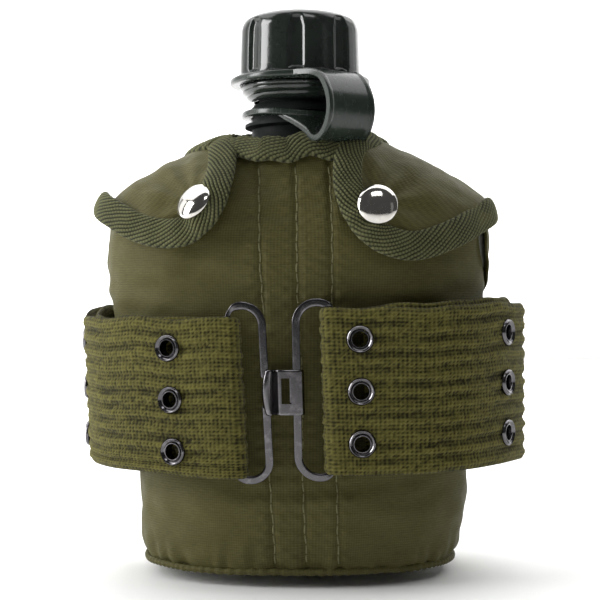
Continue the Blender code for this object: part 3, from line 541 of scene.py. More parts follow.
def uv_waves(tree, across_pitch, along_pitch, turn=0.0):
    """Two crossed sets of threads in the cloth's own millimetres, as a height from 0 to 1."""
    cloth = add(tree, "UVMap", uv_map="cloth").outputs["UV"]
    turned_uv = add(tree, "Mapping", {"Vector": cloth, "Rotation": (0, 0, turn)}).outputs["Vector"]
    axes = add(tree, "SeparateXYZ", {"Vector": turned_uv})
    threads = []
    for axis, pitch in (("X", across_pitch), ("Y", along_pitch)):
        phase = add(tree, "Math", {0: axes.outputs[axis], 1: 2 * math.pi / pitch}, operation="MULTIPLY")
        wave = add(tree, "Math", {0: phase.outputs[0]}, operation="SINE")
        threads.append(layered(tree, [(wave.outputs[0], 0.25)], 0.5))
    return add(tree, "Math", {0: threads[0], 1: threads[1]}, operation="ADD").outputs[0]


def nylon_look(name, dark, light):
    """Fine plain-weave nylon: threads, faint cross lines, soft mottling and a low sheen."""
    look, tree, shader = principled(name, dark, 0.66, Sheen_Weight=0.05, Sheen_Roughness=0.45,
                                    Specular_IOR_Level=0.22)
    shader.inputs["Sheen Tint"].default_value = (0.75, 0.78, 0.5, 1)
    threads = uv_waves(tree, 0.78, 0.84)
    fibre = noise_socket(tree, 2400.0, 3.0, stretch=(0.2, 0.2, 1.6))
    broad = noise_socket(tree, 28.0, 4.0)
    shade = layered(tree, [(threads, 0.42), (fibre, 0.95), (broad, 0.45)], -0.58)
    coloured(tree, shader, shade, dark, light)
    bumped(tree, shader, layered(tree, [(threads, 0.5)], fibre), 0.45, 0.0003)
    return look


def yarn_look(name, dark, light, twist, roughness=0.92):
    """Thick yarn: painted shade between the yarns, taken from the mesh's own relief, with fibres and lint on
    top.
    """
    look, tree, shader = principled(name, dark, roughness, Sheen_Weight=0.06, Sheen_Roughness=0.6,
                                    Specular_IOR_Level=0.2)
    relief = add(tree, "Attribute", attribute_name="relief").outputs["Fac"]
    fibre = noise_socket(tree, 3600.0, 4.0)
    broad = noise_socket(tree, 45.0, 3.0)
    # low relief darkens the colour in the gaps between yarns: painted shade; fibre and broad add real tone
    shade = layered(tree, [(relief, 1.15), (fibre, 0.55), (broad, 0.35)], -0.67)
    coloured(tree, shader, shade, dark, light)
    threads = uv_waves(tree, *twist, turn=math.radians(28))
    bumped(tree, shader, layered(tree, [(threads, 0.5)], fibre), 0.55, 0.0003)
    return look


def fleece_look(name, colour):
    """Deep, matt pile with lumps of lighter fibre."""
    look, tree, shader = principled(name, colour, 1.0, Sheen_Weight=0.6)
    lighter = tuple(c * 1.5 for c in colour)
    coloured(tree, shader, noise_socket(tree, 500.0, 5.0), colour, lighter)
    bumped(tree, shader, noise_socket(tree, 900.0, 6.0), 1.0, 0.0015)
    return look


def make_looks():
    return {
        "bottle": plastic_look("bottle_plastic_look", (0.006, 0.008, 0.007), 0.46, 0.0, 0.08),
        "cap": plastic_look("cap_plastic_look", (0.010, 0.0135, 0.011), 0.13, 0.2),
        "strap": plastic_look("strap_plastic_look", (0.013, 0.019, 0.0145), 0.22, 0.05),
        "rubber": plastic_look("rubber_look", (0.02, 0.02, 0.02), 0.8, 0.0),
        "nylon": nylon_look("cover_nylon_look", (0.034, 0.0310, 0.0075), (0.108, 0.098, 0.029)),
        # the first colour of each yarn look is the painted shade in the gaps between its yarns
        "tape": yarn_look("binding_tape_look", (0.007, 0.008, 0.003), (0.165, 0.168, 0.074), (0.5, 0.9)),
        "webbing": yarn_look("belt_webbing_look", (0.015, 0.0135, 0.002), (0.160, 0.146, 0.0325),
                             (0.42, 0.9)),
        "thread": yarn_look("stitch_thread_look", (0.10, 0.095, 0.04), (0.25, 0.24, 0.12), (0.3, 0.3), 0.8),
        "fleece": fleece_look("lining_fleece_look", (0.24, 0.24, 0.18)),
        "chrome": metal_look("snap_chrome_look", (0.62, 0.60, 0.56), 0.09, 1.15),
        "steel": metal_look("black_steel_look", (0.125, 0.120, 0.125), 0.16, 1.8),
    }


def relook(nodes, look):
    """Gives this look to CAD pieces that no mesh stands for."""
    for node in nodes:
        frame["nodes"][node].material_slots[0].material = look


def middle_of(node):
    """Middle of the box round a CAD piece, in millimetres."""
    low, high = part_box(node)
    return np.array((low + high) / 2) / MM


# ---- bottle, cap and strap ----


def make_bottle(looks):
    """Bottle with its ringed neck and open mouth, and the screw thread on the neck."""
    outer = hull_rings(BOTTLE_SEGMENTS, np.linspace(4.0, 154.0, 64), -BOTTLE_INSET)
    inner = hull_rings(BOTTLE_SEGMENTS, np.linspace(6.5, 152.0, 40), -BOTTLE_INSET - BOTTLE_WALL)
    bore = [(MOUTH_RADIUS, NECK_PROFILE[-1][1]), (MOUTH_RADIUS, 157.0)]
    neck, _ = turned(NECK_PROFILE + bore, BOTTLE_SEGMENTS)
    neck = neck.reshape(BOTTLE_SEGMENTS, -1, 3).swapaxes(0, 1)
    rings = np.concatenate([outer, neck, inner[::-1]])
    piece("bottle_body", *vessel(rings), looks["bottle"], "bottle_plastic", replaced=["bottle"], sharp=50)
    make_thread("bottle_thread", looks["bottle"], "bottle_plastic", CANTEEN, root=15.0, crest=16.6,
                first=176.0, turns=2.0)


def make_thread(name, look, slot, body, root, crest, first, turns):
    """Helical ridge that fades in and out at its ends."""
    share = np.linspace(0, 1, round(turns * 90))
    angle = 2 * math.pi * turns * share
    fade = np.minimum(1, 8 * np.minimum(share, 1 - share) + 0.1)
    tip = root + (crest - root) * fade
    z = first + THREAD_PITCH * turns * share
    edge = [(np.full_like(tip, root), -1.0), (tip, -0.45), (tip, 0.45), (np.full_like(tip, root), 1.0)]
    rings = np.stack([np.stack([r * np.cos(angle), r * np.sin(angle), z + dz], axis=1) for r, dz in edge],
                     axis=1)
    piece(name, *vessel(rings), look, slot, body=body, sharp=30)


def lobed(angle, radius, height):
    """Grip lobes: flat-bottomed flutes with rounded ends between slightly crowned faces."""
    step = 2 * math.pi / CAP_LOBES
    phase = (angle - FLUTE_ANGLE + step / 2) % step - step / 2
    arch = 1 - 0.35 * smooth(height, 192.0, 197.0)
    groove = np.exp(-(np.abs(phase) / (arch * math.radians(7.2))) ** 6)
    crown = 0.25 * np.cos(phase * CAP_LOBES / 2)
    tall = between(height, 177.4, 178.4, 195.4, 197.4)
    return radius - tall * (1.3 * groove + crown)


def make_cap(looks):
    """Screw cap: open below, with a fluted grip, a domed crown and a retaining lip."""
    outside = resample(np.array(CAP_PROFILE), 0.6)
    inside = [(3.0, 196.6), (15.5, 196.6), (17.0, 196.0), (17.0, 182.0)]
    profile = np.vstack([outside, [(2.0, CAP_TOP)], inside])
    points, faces = turned(profile, CAP_SEGMENTS, ripple=lobed)
    faces = close_crown(faces, len(profile), len(outside))
    piece("cap_body", points, faces, looks["cap"], "cap_plastic", body="cap", replaced=["cap"], sharp=45)
    make_thread("cap_thread", looks["cap"], "cap_plastic", "cap", root=17.2, crest=15.8, first=178.5,
                turns=1.25)
    seal = [(0.5, 194.9), (16.0, 194.9), (16.4, 195.3), (16.4, 195.8), (16.0, 196.1), (0.5, 196.1)]
    points, faces = turned(seal, 72, closed=False)
    piece("cap_seal_disc", points, faces, looks["rubber"], "seal_rubber", body="cap", replaced=["cap_seal"],
          sharp=40)


def close_crown(faces, rows, top):
    """Fills the small round openings at the middle of the crown, outside and inside."""
    kept = [f for f in faces if {v % rows for v in f} != {top, top + 1}]
    return kept + [tuple(s * rows + row for s in range(CAP_SEGMENTS)) for row in (top, top + 1)]


def ring_profile(inner, outer, low, high, radius):
    """Rounded rectangle between two radii and two heights."""
    corners = [(outer - radius, low + radius, -90), (outer - radius, high - radius, 0),
               (inner + radius, high - radius, 90), (inner + radius, low + radius, 180)]
    return [(r + radius * math.cos(math.radians(a)), z + radius * math.sin(math.radians(a)))
            for r, z, start in corners for a in range(start, start + 91, 18)]


def strap_band_mesh():
    """C-shaped band that widens into both rings and is hollowed to follow them."""
    route = resample(spline(STRAP_ROUTE, 10), 0.6)
    up = -right_of(route)
    run = lengths_along(route)
    section = rounded_section(STRAP_WIDTH, STRAP_THICKNESS, 12.0, 90)
    from_edge = STRAP_WIDTH / 2 - np.abs(section[:, 0])
    section[:, 1] -= np.where(section[:, 1] > 0, 0.5 * smooth(from_edge, 1.5, 2.0), 0)
    section[:, 0] /= STRAP_WIDTH
    near_cap = np.clip(1 - run / 9, 0, 1) ** 1.2
    near_neck = np.clip((run - run[-1] + 9) / 9, 0, 1) ** 1.2
    width = STRAP_WIDTH + 2 * STRAP_FLARE * (near_cap**1.5 + 0.6 * near_neck**1.5)
    t = STRAP_SHIFT + section[None, :, 0] * width[:, None]
    pulled = (near_cap[:, None] * (23.4 - np.sqrt(23.4**2 - t**2))
              + near_neck[:, None] * (20.4 - np.sqrt(20.4**2 - np.clip(t, -19, 19) ** 2)))
    r = route[:, :1] + section[None, :, 1] * up[:, :1] - pulled
    z = route[:, 1:] + section[None, :, 1] * up[:, 1:]
    c, s = math.cos(STRAP_DIRECTION), math.sin(STRAP_DIRECTION)
    return vessel(np.stack([r * c - t * s, r * s + t * c, z], axis=-1))


def make_strap(looks):
    """Retaining strap: neck ring, C-shaped band and cap ring."""
    points, faces = turned(ring_profile(*NECK_RING, 0.7), 120)
    points[:, 2] += 1.9 * smooth(-points[:, 0], -8, 20)
    piece("neck_ring", points, faces, looks["strap"], "cap_plastic", replaced=["strap_neck_ring"], sharp=60)
    ring = turned(ring_profile(*CAP_RING, 1.0), 144)
    piece("cap_ring_flange", *ring, looks["strap"], "cap_plastic", body="cap_ring",
          replaced=["strap_cap_ring"], sharp=60)
    band = piece("strap_c_band", *strap_band_mesh(), looks["strap"], "cap_plastic", body=None,
                 replaced=["strap_band"], sharp=60)
    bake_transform(band)


# ---- cover ----


def stitch_line(line, z):
    """Place from left to right of a line of stitching, at these heights."""
    share = (STITCH_HEIGHTS[0] - z) / (STITCH_HEIGHTS[0] - STITCH_HEIGHTS[1])
    return line[0] + (line[1] - line[0]) * share


def cover_wrinkles(points, angle, z):
    """How far the cloth stands off the body: puckers at seams, soft folds, grooves along the stitching."""
    x = points[..., 0]
    front = np.sin(angle) < 0
    folds = 1.05 * rough(points * (1.0, 1.0, 0.45), 17.0, 3.1)
    folds = folds + 0.62 * rough(points * (0.6, 1.0, 1.4), 8.0, 7.7)
    hem = bell(z, 3.0, 8.0) * 1.2 * rough(points * (1.0, 1.0, 0.25), 4.6, 1.3)
    under_belt = (1.1 - 2.2 * smooth(x, 44, 64)) * bell(z, 103.0, 9.0) + 0.8 * bell(z, 25.0, 9.0)
    near_belt = bell(z, 99.0, 9.0) * smooth(np.abs(x), 20, 50)
    drag = 0.45 * np.sin(points[..., 2] * 0.55 + x * 0.12) * near_belt
    lift = folds + hem + under_belt + drag
    for line in STITCH_LINES:
        near = np.abs(x - stitch_line(line, z))
        ripple = bell(near, 2.8, 1.6) * np.sin(z * 1.3 + line[0] + 2.5 * np.sin(z * 0.11))
        lift = lift + np.where(front, 0.34 * ripple - 0.85 * bell(near, 0, 1.2), 0)
    return lift


def side_seams(z):
    """Angles of the right and left side seams. The right one comes forward below the flap."""
    forward = 0.36 * between(z, 93.0, 116.0, 132.0, 148.0)
    return -SEAM_BACK - forward, -math.pi - SEAM_BACK + 0 * z


def make_cover(looks):
    """Front and back panels of the cover, each a closed sheet of cloth, and the lining at the mouth."""
    for name, columns, rows in (("front", 320, 240), ("back", 170, 150)):
        z = np.linspace(0.9, 151.6, rows)[:, None]
        right, left = side_seams(z)
        gap = SEAM_GAP * (0.15 + 0.85 * smooth(z, 94.0, 116.0))
        start, end = left, right
        if name == "back":
            start, end = right + gap, left + 2 * math.pi - 0.15 * SEAM_GAP
        angle = start + (end - start) * np.linspace(0, 1, columns)[None]
        z = z + 0 * angle
        base, _ = hull(angle, z)
        lift = cover_wrinkles(base, angle, z)
        seam = bell(np.minimum(angle - start, end - angle), 0, 0.05)
        high = smooth(z, 94.0, 112.0)
        if name == "front":
            lift = lift - seam * (0.7 + 1.2 * high)
        else:
            lift = lift + seam * (0.2 + 1.6 * high + 0.4 * rough(base, 6.0, 9.0))
        lift = np.maximum(lift, -1.2)
        outer, _ = hull(angle, z, lift)
        inner, _ = hull(angle, z, lift - CLOTH_THICKNESS)
        points, faces, used = shell(outer, inner)
        length = np.stack([angle * 55.0, z], axis=-1)
        panel = piece(f"cover_{name}_cloth", points, faces, looks["nylon"], "cover_nylon",
                      replaced=[f"cover_{name}_panel"], uv=both(length)[used])
    heights = np.linspace(3.0, 150.0, 60)
    out = hull_rings(140, heights, -1.9 + 0.15 * np.sin(heights[:, None]))
    near = hull_rings(140, heights, -3.1)
    points, faces = vessel(np.concatenate([out, near[::-1]]))
    piece("cover_fleece_lining", points, faces, looks["fleece"], "fleece", replaced=["cover_lining"])
    relook(["cover_bottom_panel"], looks["nylon"])


def make_hem(looks):
    """Gathered welt round the bottom seam."""
    count, around = 420, 14
    angles = full_turn(count)
    waves = noise_at((3 * math.cos(a), 3 * math.sin(a), 5.0) for a in angles)
    height = 2.1 + 0.6 * waves + 0.3 * smooth(-np.sin(angles), 0.2, 0.9)
    centre, _ = hull(angles, height, 0.5)
    up = np.repeat([[0, 0, 1.0]], count, axis=0)
    across = unit(np.cross(tangents(centre, closed=True), up))
    distance = np.arange(count) * 0.75
    pucker = np.abs(np.sin(distance * 1.05 + 1.5 * np.sin(distance * 0.13)))
    section = rounded_section(2.2, 2.4, 2.2, around)
    points, faces = sweep(centre, section, across, up, closed=True, size=0.72 + 0.38 * pucker)
    points[:, 2] = np.maximum(points[:, 2], 0.15)
    uv = np.column_stack([np.repeat(distance, around), np.tile(np.arange(around) * 0.5, count)])
    piece("bottom_hem", points, faces, looks["nylon"], "binding_tape", replaced=["bottom_piping"], uv=uv)


def stitches(name, route, normals, look, slot, pitch=STITCH_PITCH, length=STITCH_LENGTH):
    """Row of thread stitches along a route, as one mesh. Each dips into the cloth at its ends."""
    run = lengths_along(route)
    share = np.linspace(-0.5, 0.5, 7)
    dip = (0.35 * THREAD_RADIUS - 1.7 * THREAD_RADIUS * (2 * share) ** 4)[:, None]
    section = rounded_section(2 * THREAD_RADIUS, 2 * THREAD_RADIUS, 2.0, 6)
    points, faces = [], []
    for start in np.arange(pitch / 2, run[-1] - pitch / 2, pitch):
        up = unit(interpolated(start + share * length, run, normals))
        line = at_length(route, start + share * length) + up * dip
        mesh, quads = sweep(line, section, unit(np.cross(tangents(line), up)), up)
        faces += [tuple(v + len(points) * len(mesh) for v in q) for q in quads]
        points.append(mesh)
    points = np.vstack(points)
    uv = np.column_stack([points[:, 2], points[:, 0]])
    piece(name, points, faces, look, slot, uv=uv, relief=np.full(len(points), 0.8))


def make_front_stitching(looks):
    z = np.linspace(4.5, 143.0, 240)
    for number, line in enumerate(STITCH_LINES, start=1):
        wander = stitch_line(line, z) + 0.35 * np.sin(z * 0.09 + number) + 0.16 * np.sin(z * 0.7)
        angle = front_angle(wander, z)
        base, _ = hull(angle, z)
        route, normal = hull(angle, z, cover_wrinkles(base, angle, z) + 0.12)
        stitches(f"front_stitching_{number}", route, normal, looks["thread"], "cover_nylon")


# ---- binding tape and flaps ----


def away_from_ends(count, first, last):
    """From 0 at both ends of a row of points to 1 once this many points away from them."""
    return between(np.arange(count), 0, first, count - 1 - last, count - 1)


def tape(name, route, normals, inward, look, body, replaced, width=TAPE_WIDTH, lean=1, narrowed=0.1):
    """Ribbed tape folded over an edge. The route is its outer edge, and inward points across the tape."""
    section = rounded_section(width, 2 * TAPE_HEIGHT, 2.5, TAPE_SAMPLES)
    run = lengths_along(route)
    along = run[:, None] + np.zeros(TAPE_SAMPLES)
    across = section[None, :, 0] + width / 2 + 0 * along
    place = np.stack([across, along], axis=-1)
    slant = RIB_SLANT * lean
    phase = (across * math.cos(slant) - along * math.sin(slant)) / RIB_PITCH + 0.25 * rough(place, 5.0, 6.0)
    # relief shapes the ribs and also darkens the colour in the gaps between ribs and yarns: painted shade
    rib = np.abs(np.sin(math.pi * phase)) ** 0.8
    step = (across * math.sin(slant) + along * math.cos(slant)) / YARN_PITCH + 0.5 * np.floor(phase)
    gap = (0.5 + 0.5 * np.cos(2 * math.pi * step)) ** 2
    patchy = 1 + 0.6 * rough(place, 6.0, 2.0)
    relief = np.clip(rib * (1 - 0.45 * gap * patchy), 0, 1)
    swell = 1 + 0.10 * noise_at((s / 7.0, 2.2, 0) for s in run)[:, None]
    thick = section[None, :, 1] * swell + np.sign(section[None, :, 1]) * (relief - 0.6) * 0.66
    thick = thick * (0.75 + 0.25 * away_from_ends(len(route), 8, 8))[:, None]
    wide = (across - 0.5) * (1 - narrowed * (1 - away_from_ends(len(route), 24, 27)))[:, None]
    points = route[:, None] + wide[..., None] * inward[:, None] + thick[..., None] * normals[:, None]
    return piece(name, *vessel(points), look, "binding_tape", body=body, replaced=replaced,
                 uv=place.reshape(-1, 2), relief=relief.ravel())


class Flap:
    """Surface of one flap. i runs from the neck side to the tip, t from behind the shoulder to the edge."""

    def __init__(self, side):
        self.side = side
        self.sign = -1 if side == "left" else 1
        self.behind = FLAP_BACK if side == "right" else -math.pi - FLAP_BACK
        self.edge = resample(spline(FLAP_EDGES[side], 10), 0.5)
        self.run = lengths_along(self.edge)
        self.share = self.run / self.run[-1]
        self.snap = middle_of(f"snap_cap_{side}")

    def lift(self, i, t, angle, height):
        """Padding of the flap: full over the shoulder, pulled in at the snap, free along the edge."""
        base = hull_points(angle, height, FLAP_STAND)
        from_snap = np.hypot(base[..., 0] - self.snap[0], base[..., 2] - self.snap[2])
        puff = 1.5 * np.sin(math.pi * np.clip(t, 0, 1) ** 1.3)
        puff = puff * np.sin(math.pi * np.clip(i, 0.02, 0.98)) ** 0.7
        dimple = SNAP_PULL[self.side] * bell(from_snap, 0, 9.0)
        folds = 0.9 * rough(base * (1.0, 1.0, 0.7), 13.0, 4.0 + self.sign) + 0.3 * rough(base, 5.0, 8.0)
        radial = np.arctan2(base[..., 2] - self.snap[2], base[..., 0] - self.snap[0])
        folds = folds + 0.45 * np.sin(radial * 9.0) * bell(from_snap, 13.0, 8.0)
        rise = FLAP_TIPS[self.side] * smooth(i, 0.72, 1.0) * smooth(t, 0.2, 0.9)
        if self.side == "left":
            low = 1 - 0.95 * smooth(height, 132.0, 144.0)
            rise = rise + 3.4 * smooth(base[..., 0], -47.0, -27.0) * smooth(t, 0.35, 0.9) * low
        return 0.2 + puff + dimple + folds * smooth(t, 0.0, 0.25) + rise

    def points(self, i, t, extra):
        """Points of the flap and their normals, this far outside its surface."""
        x = np.interp(i, self.share, self.edge[:, 0])
        z = np.interp(i, self.share, self.edge[:, 1])
        ridge = np.interp(i, RIDGE_SHARES, RIDGES[self.side])
        height = ridge + (z - ridge) * t**1.1
        angle = self.behind + (front_angle(x, z, FLAP_STAND) - self.behind) * t
        return hull(angle, height, self.lift(i, t, angle, height) + extra, FLAP_STAND)

    def blend(self, obj):
        """Reads the flap's hinge from its joint and bakes the piece's placement into its points."""
        joint = next(j for j in frame["joints"] if j["name"] == f"flap_{self.side}_open")
        pivot, axis = Vector(joint["pos_m"]), Vector(joint["axis"]).normalized()
        outward = axis.cross(Vector((0, 0, 1))).normalized()
        if outward.y > 0:
            outward = -outward
        down = axis.cross(outward)
        if down.z > 0:
            down = -down
        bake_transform(obj)


def make_flap(side, looks):
    """Padded flap of cloth with tape along its neck side and its free edge, and its snap."""
    flap = Flap(side)
    i, t = np.meshgrid(np.linspace(0, 1, 190), np.linspace(0, 0.985, 120))
    outer, _ = flap.points(i, t, 0.7)
    inner, _ = flap.points(i, t, -0.7)
    points, faces, used = shell(outer, inner)
    uv = np.stack([np.interp(i, flap.share, flap.run), t * 38.0], axis=-1)
    cloth = piece(f"flap_{side}_cloth", points, faces, looks["nylon"], "cover_nylon", body=None,
                  replaced=[f"flap_{side}", f"shoulder_{side}"], uv=both(uv)[used])
    flap.blend(cloth)
    neck_side = [(0.0, v) for v in 0.02 + 0.98 * np.linspace(0, 1, 30)[:-1]]
    path = np.array(neck_side + [(v, 1.0) for v in np.linspace(0, 1, 200)])
    route, normal = flap.points(path[:, 0], path[:, 1], 0.6)
    for _ in range(14):
        route[1:-1] = (route[:-2] + route[1:-1] * 2 + route[2:]) / 4
        normal[1:-1] = unit(normal[:-2] + normal[1:-1] * 2 + normal[2:])
    run = lengths_along(route)
    steps = np.linspace(0, run[-1], round(run[-1] / 0.34))
    route, normal = interpolated(steps, run, route), unit(interpolated(steps, run, normal))
    inward = unit(np.cross(normal, tangents(route))) * flap.sign
    edge = tape(f"flap_{side}_edge_tape", route, normal, inward, looks["tape"], None,
                replaced=[f"flap_{side}_binding"], lean=flap.sign, narrowed=TIP_NARROWING[side])
    flap.blend(edge)
    make_snap(flap, looks)


def make_snap(flap, looks):
    """Domed snap cap with a rolled rim, the socket behind it, and the stud on the panel."""
    side = flap.side
    profile = spline(SNAP_DOME, 5).tolist() + SNAP_UNDERSIDE
    points, faces = turned(profile, 72, closed=False)
    centre = flap.snap + np.array(SNAP_AXES[side]) * 0.3
    piece(f"snap_{side}_dome", placed(points, centre, SNAP_AXES[side]), faces, looks["chrome"], "snap_steel",
          body=f"flap_{side}", replaced=[f"snap_cap_{side}"], sharp=50)
    relook([f"snap_socket_{side}", f"snap_stud_{side}"], looks["chrome"])


def neck_tape(place, route, normal, looks, width):
    """Tape that stands upright on the mouth of the cover."""
    inward = unit(np.cross(tangents(route), normal))
    inward = inward * np.sign(inward[:, 2:])
    tape(f"neck_tape_{place}", route, normal, inward, looks["tape"], CANTEEN, [f"neck_binding_{place}"],
         width=width)


def make_neck_bindings(looks):
    """Tape on the mouth of the cover, in front between the flaps and behind the neck."""
    x = np.linspace(-24.5, 17.0, 130)
    z = 143.6 + 0.9 * np.sin(x * 0.23 + 0.4) + 0.5 * np.sin(x * 0.51)
    angle = front_angle(x, z)
    route, normal = hull(angle, z, 2.2 + 0.4 * np.sin(x * 0.4))
    route = resample(route, 0.42)
    neck_tape("front", route, unit(interpolated(route[:, 0], x, normal)), looks, width=9.8)
    angle = np.linspace(math.radians(-14), math.radians(194), 240)
    z = 150.5 + 1.6 * np.sin(angle) + 0.3 * np.sin(angle * 9)
    route, normal = hull(angle, z, 1.7)
    known, steps = np.linspace(0, 1, 240), np.linspace(0, 1, 260)
    neck_tape("back", interpolated(steps, known, route), unit(interpolated(steps, known, normal)), looks,
              width=8.4)


# ---- belt ----


def tail_line(outer, sign):
    """Route of the tail behind one end of the outer layer, from its fold."""
    line = outer if sign > 0 else outer[::-1]
    steps = np.linspace(0, TAIL_LENGTH, 160)
    points = at_length(line, steps)
    first = BELT_INNER_FRONT - BELT_FRONT
    offset = first + (TAIL_OFFSET - first) * np.clip(steps / 25.0, 0, 1)
    return points - right_of(points) * sign * offset[:, None]


def fold_points(x, sign):
    """Half round at one end of the belt, from the outer layer to its tail."""
    radius = (BELT_INNER_FRONT - BELT_FRONT) / 2
    turn = np.linspace(math.pi / 2, -math.pi / 2, 22)[1:-1]
    return np.array([(x - sign * radius * math.cos(a), BUCKLE_Y + radius * math.sin(a)) for a in turn])


def eyelet_columns():
    """Names and centres of each column's three CAD eyelets."""
    columns = []
    while f"eyelet_{len(columns) + 1}_a" in frame["nodes"]:
        names = [f"eyelet_{len(columns) + 1}_{row}" for row in "abc"]
        columns.append((names, [middle_of(name) for name in names]))
    return columns


def belt_set(points):
    """How the worn belt has shifted: its left end leans and has slipped down, its right end rides up."""
    x, y, z = points[..., 0], points[..., 1], points[..., 2]
    front = smooth(-y, -18, 12)
    left = between(-x, 14, 18, 82, 96) * front
    right = between(x, 6, 10, 10, 28) * front
    above = smooth(z, BELT_LOW, BELT_LOW + 10)
    slip = 0.2 + 3.0 * above + (1 - smooth(-x, 25, 60)) * (1 - above)
    moved = points.copy()
    moved[..., 0] += (BUCKLE_MIDDLE - z) * (LEFT_LEAN * left + RIGHT_LEAN * right)
    moved[..., 0] += 0.3 * left - 0.8 * left * smooth(x, -36, -24)
    moved[..., 0] += 0.6 * right - 2.0 * between(x, 45, 68, 74, 81) * front
    moved[..., 2] += 1.8 * smooth(x, 18, 78) * smooth(-y, -10, 25) - slip * left
    return moved


def make_belt(looks):
    """Belt of ribbed webbing: one ribbon, woven in relief, folded round the buckle at both ends."""
    outer = spline(BELT_ROUTE, 10)
    right, left = tail_line(outer, 1), tail_line(outer, -1)
    line = np.vstack([right[::-1], fold_points(BELT_ROUTE[0][0], 1), outer,
                      fold_points(BELT_ROUTE[-1][0], -1)[::-1], left])
    line = resample(line, CELL_LENGTH / 2)
    s = lengths_along(line)
    rise = (TAIL_RISE["right"] * np.clip((TAIL_LENGTH - s) / TAIL_LENGTH, 0, 1)
            + TAIL_RISE["left"] * np.clip((s - s[-1] + TAIL_LENGTH) / TAIL_LENGTH, 0, 1))
    rows = BELT_ROWS * 2 + 1
    v = np.linspace(-0.5, 0.5, rows)
    wave = noise_at((d / 16.0, 0, 1) for d in s)
    z = BUCKLE_MIDDLE + v[:, None] * (BELT_WIDTH + 1.2 * wave[None]) + (rise + 0.7 * wave)[None]
    side = np.column_stack([right_of(line), np.zeros(len(line))])
    base = np.concatenate([np.repeat(line[None], rows, axis=0), z[..., None]], axis=2)
    base = belt_set(base)
    relief, height = webbing_relief(rows, s, base)
    selvedge = rounded_edge(v, 0.475, 0.5025, 0.06)
    half = (BELT_THICKNESS / 2 - 0.35 + height) * selvedge
    outer_face, inner_face = base + half[..., None] * side[None], base - half[..., None] * side[None]
    keep = np.ones((rows - 1, len(line) - 1), bool)
    middles = (base[:-1, :-1] + base[1:, 1:]) / 2
    for _, centres in eyelet_columns():
        for centre in centres:
            beside = middles - belt_set(centre)
            out = unit(centre * (1, 1, 0))
            depth = beside @ out
            near = np.linalg.norm(beside - depth[..., None] * out, axis=2) < HOLE_RADIUS
            keep &= ~(near & (np.abs(depth) < HOLE_REACH))
    points, faces, used = shell(outer_face, inner_face, keep)
    uv = np.stack(np.meshgrid(s, v * BELT_WIDTH), axis=-1)
    piece("belt_ribbed_webbing", points, faces, looks["webbing"], "belt_cotton", replaced=["belt_webbing"],
          uv=both(uv)[used], relief=both(relief)[used])


def yarn_cells(rows, columns):
    """Rows and columns of a grid with two samples to a yarn, its crowns, and the places between them."""
    row, column = np.meshgrid(np.arange(rows), np.arange(columns), indexing="ij")
    return row, column, (row % 2) * (column % 2), (row % 2) ^ (column % 2)


def webbing_relief(rows, s, base):
    """Weave of small crowns, two samples to a cell, in ribs that soften near the buckle. relief colours it,
    with painted shade between the crowns and in the rib gaps, and height shapes it.
    """
    row, column, crown, half_way = yarn_cells(rows, len(s))
    weave = crown + half_way * 0.72
    rib = 0.5 - 0.5 * np.cos(math.pi * row / RIB_ROWS)
    where = np.stack([s[column], row * 0.64], axis=-1)
    jitter = rough(where, 1.7, 2.0) + 0.55 * np.random.default_rng(7).normal(size=row.shape)
    broad = rough(where * (0.5, 1.3), 7.0, 5.0)
    strength = np.clip(0.75 + 1.1 * broad, 0.15, 1.2)
    strength = strength * (0.45 + 0.55 * smooth(np.abs(base[..., 0] + 5.5), 14.0, 32.0))
    # painted shade: low relief darkens the colour between the crowns and in the rib gaps
    relief = np.clip(0.20 + 0.66 * weave + 0.36 * (rib - 0.7) * strength + 0.24 * jitter, 0, 1)
    height = 0.38 * weave + 1.15 * (rib - 0.7) * strength + 0.16 * jitter
    return relief, height


def make_eyelets(looks):
    """Rolled metal eyelets, one for each CAD eyelet."""
    outer = resample(spline(BELT_ROUTE, 10), 0.5)
    outward = right_of(outer)
    for names, centres in eyelet_columns():
        nearest = np.argmin(np.linalg.norm(outer - centres[1][:2], axis=1))
        out = Vector((*outward[nearest], 0)).normalized()
        for name, centre in zip(names, centres):
            spot = belt_set(np.array([*outer[nearest], centre[2]]))
            points, faces = turned(EYELET_RIM, 40)
            piece(f"{name}_rolled", placed(points, spot, out), faces, looks["steel"], "black_steel",
                  replaced=[name], sharp=60)


# ---- buckle ----


def loop_route(inner, hidden, low, high, split):
    """Loop with rounded ends, wider at its inner bar than in the belt's fold."""
    turn = math.copysign(1, inner - hidden)
    wide, tight = 0.56 * abs(inner - hidden), 0.42 * abs(inner - hidden)

    def corner(x, z, radius, start):
        return [(x + turn * radius * math.cos(a), BUCKLE_Y, z + radius * math.sin(a))
                for a in np.linspace(start, start + math.pi / 2, 14)]

    route = corner(inner - turn * wide, high - wide, wide, 0)
    route += corner(hidden + turn * tight, high - tight, tight, math.pi / 2)
    route += corner(hidden + turn * tight, low + tight, tight, math.pi)
    route += corner(inner - turn * wide, low + wide, wide, 1.5 * math.pi)
    ends = [(inner, BUCKLE_Y, BUCKLE_MIDDLE + up * SPLIT_HEIGHT / 2) for up in (1, -1)]
    route = [ends[0], *route, ends[1]] if split else [*route, route[0]]
    return resample(np.array(route), 0.6)


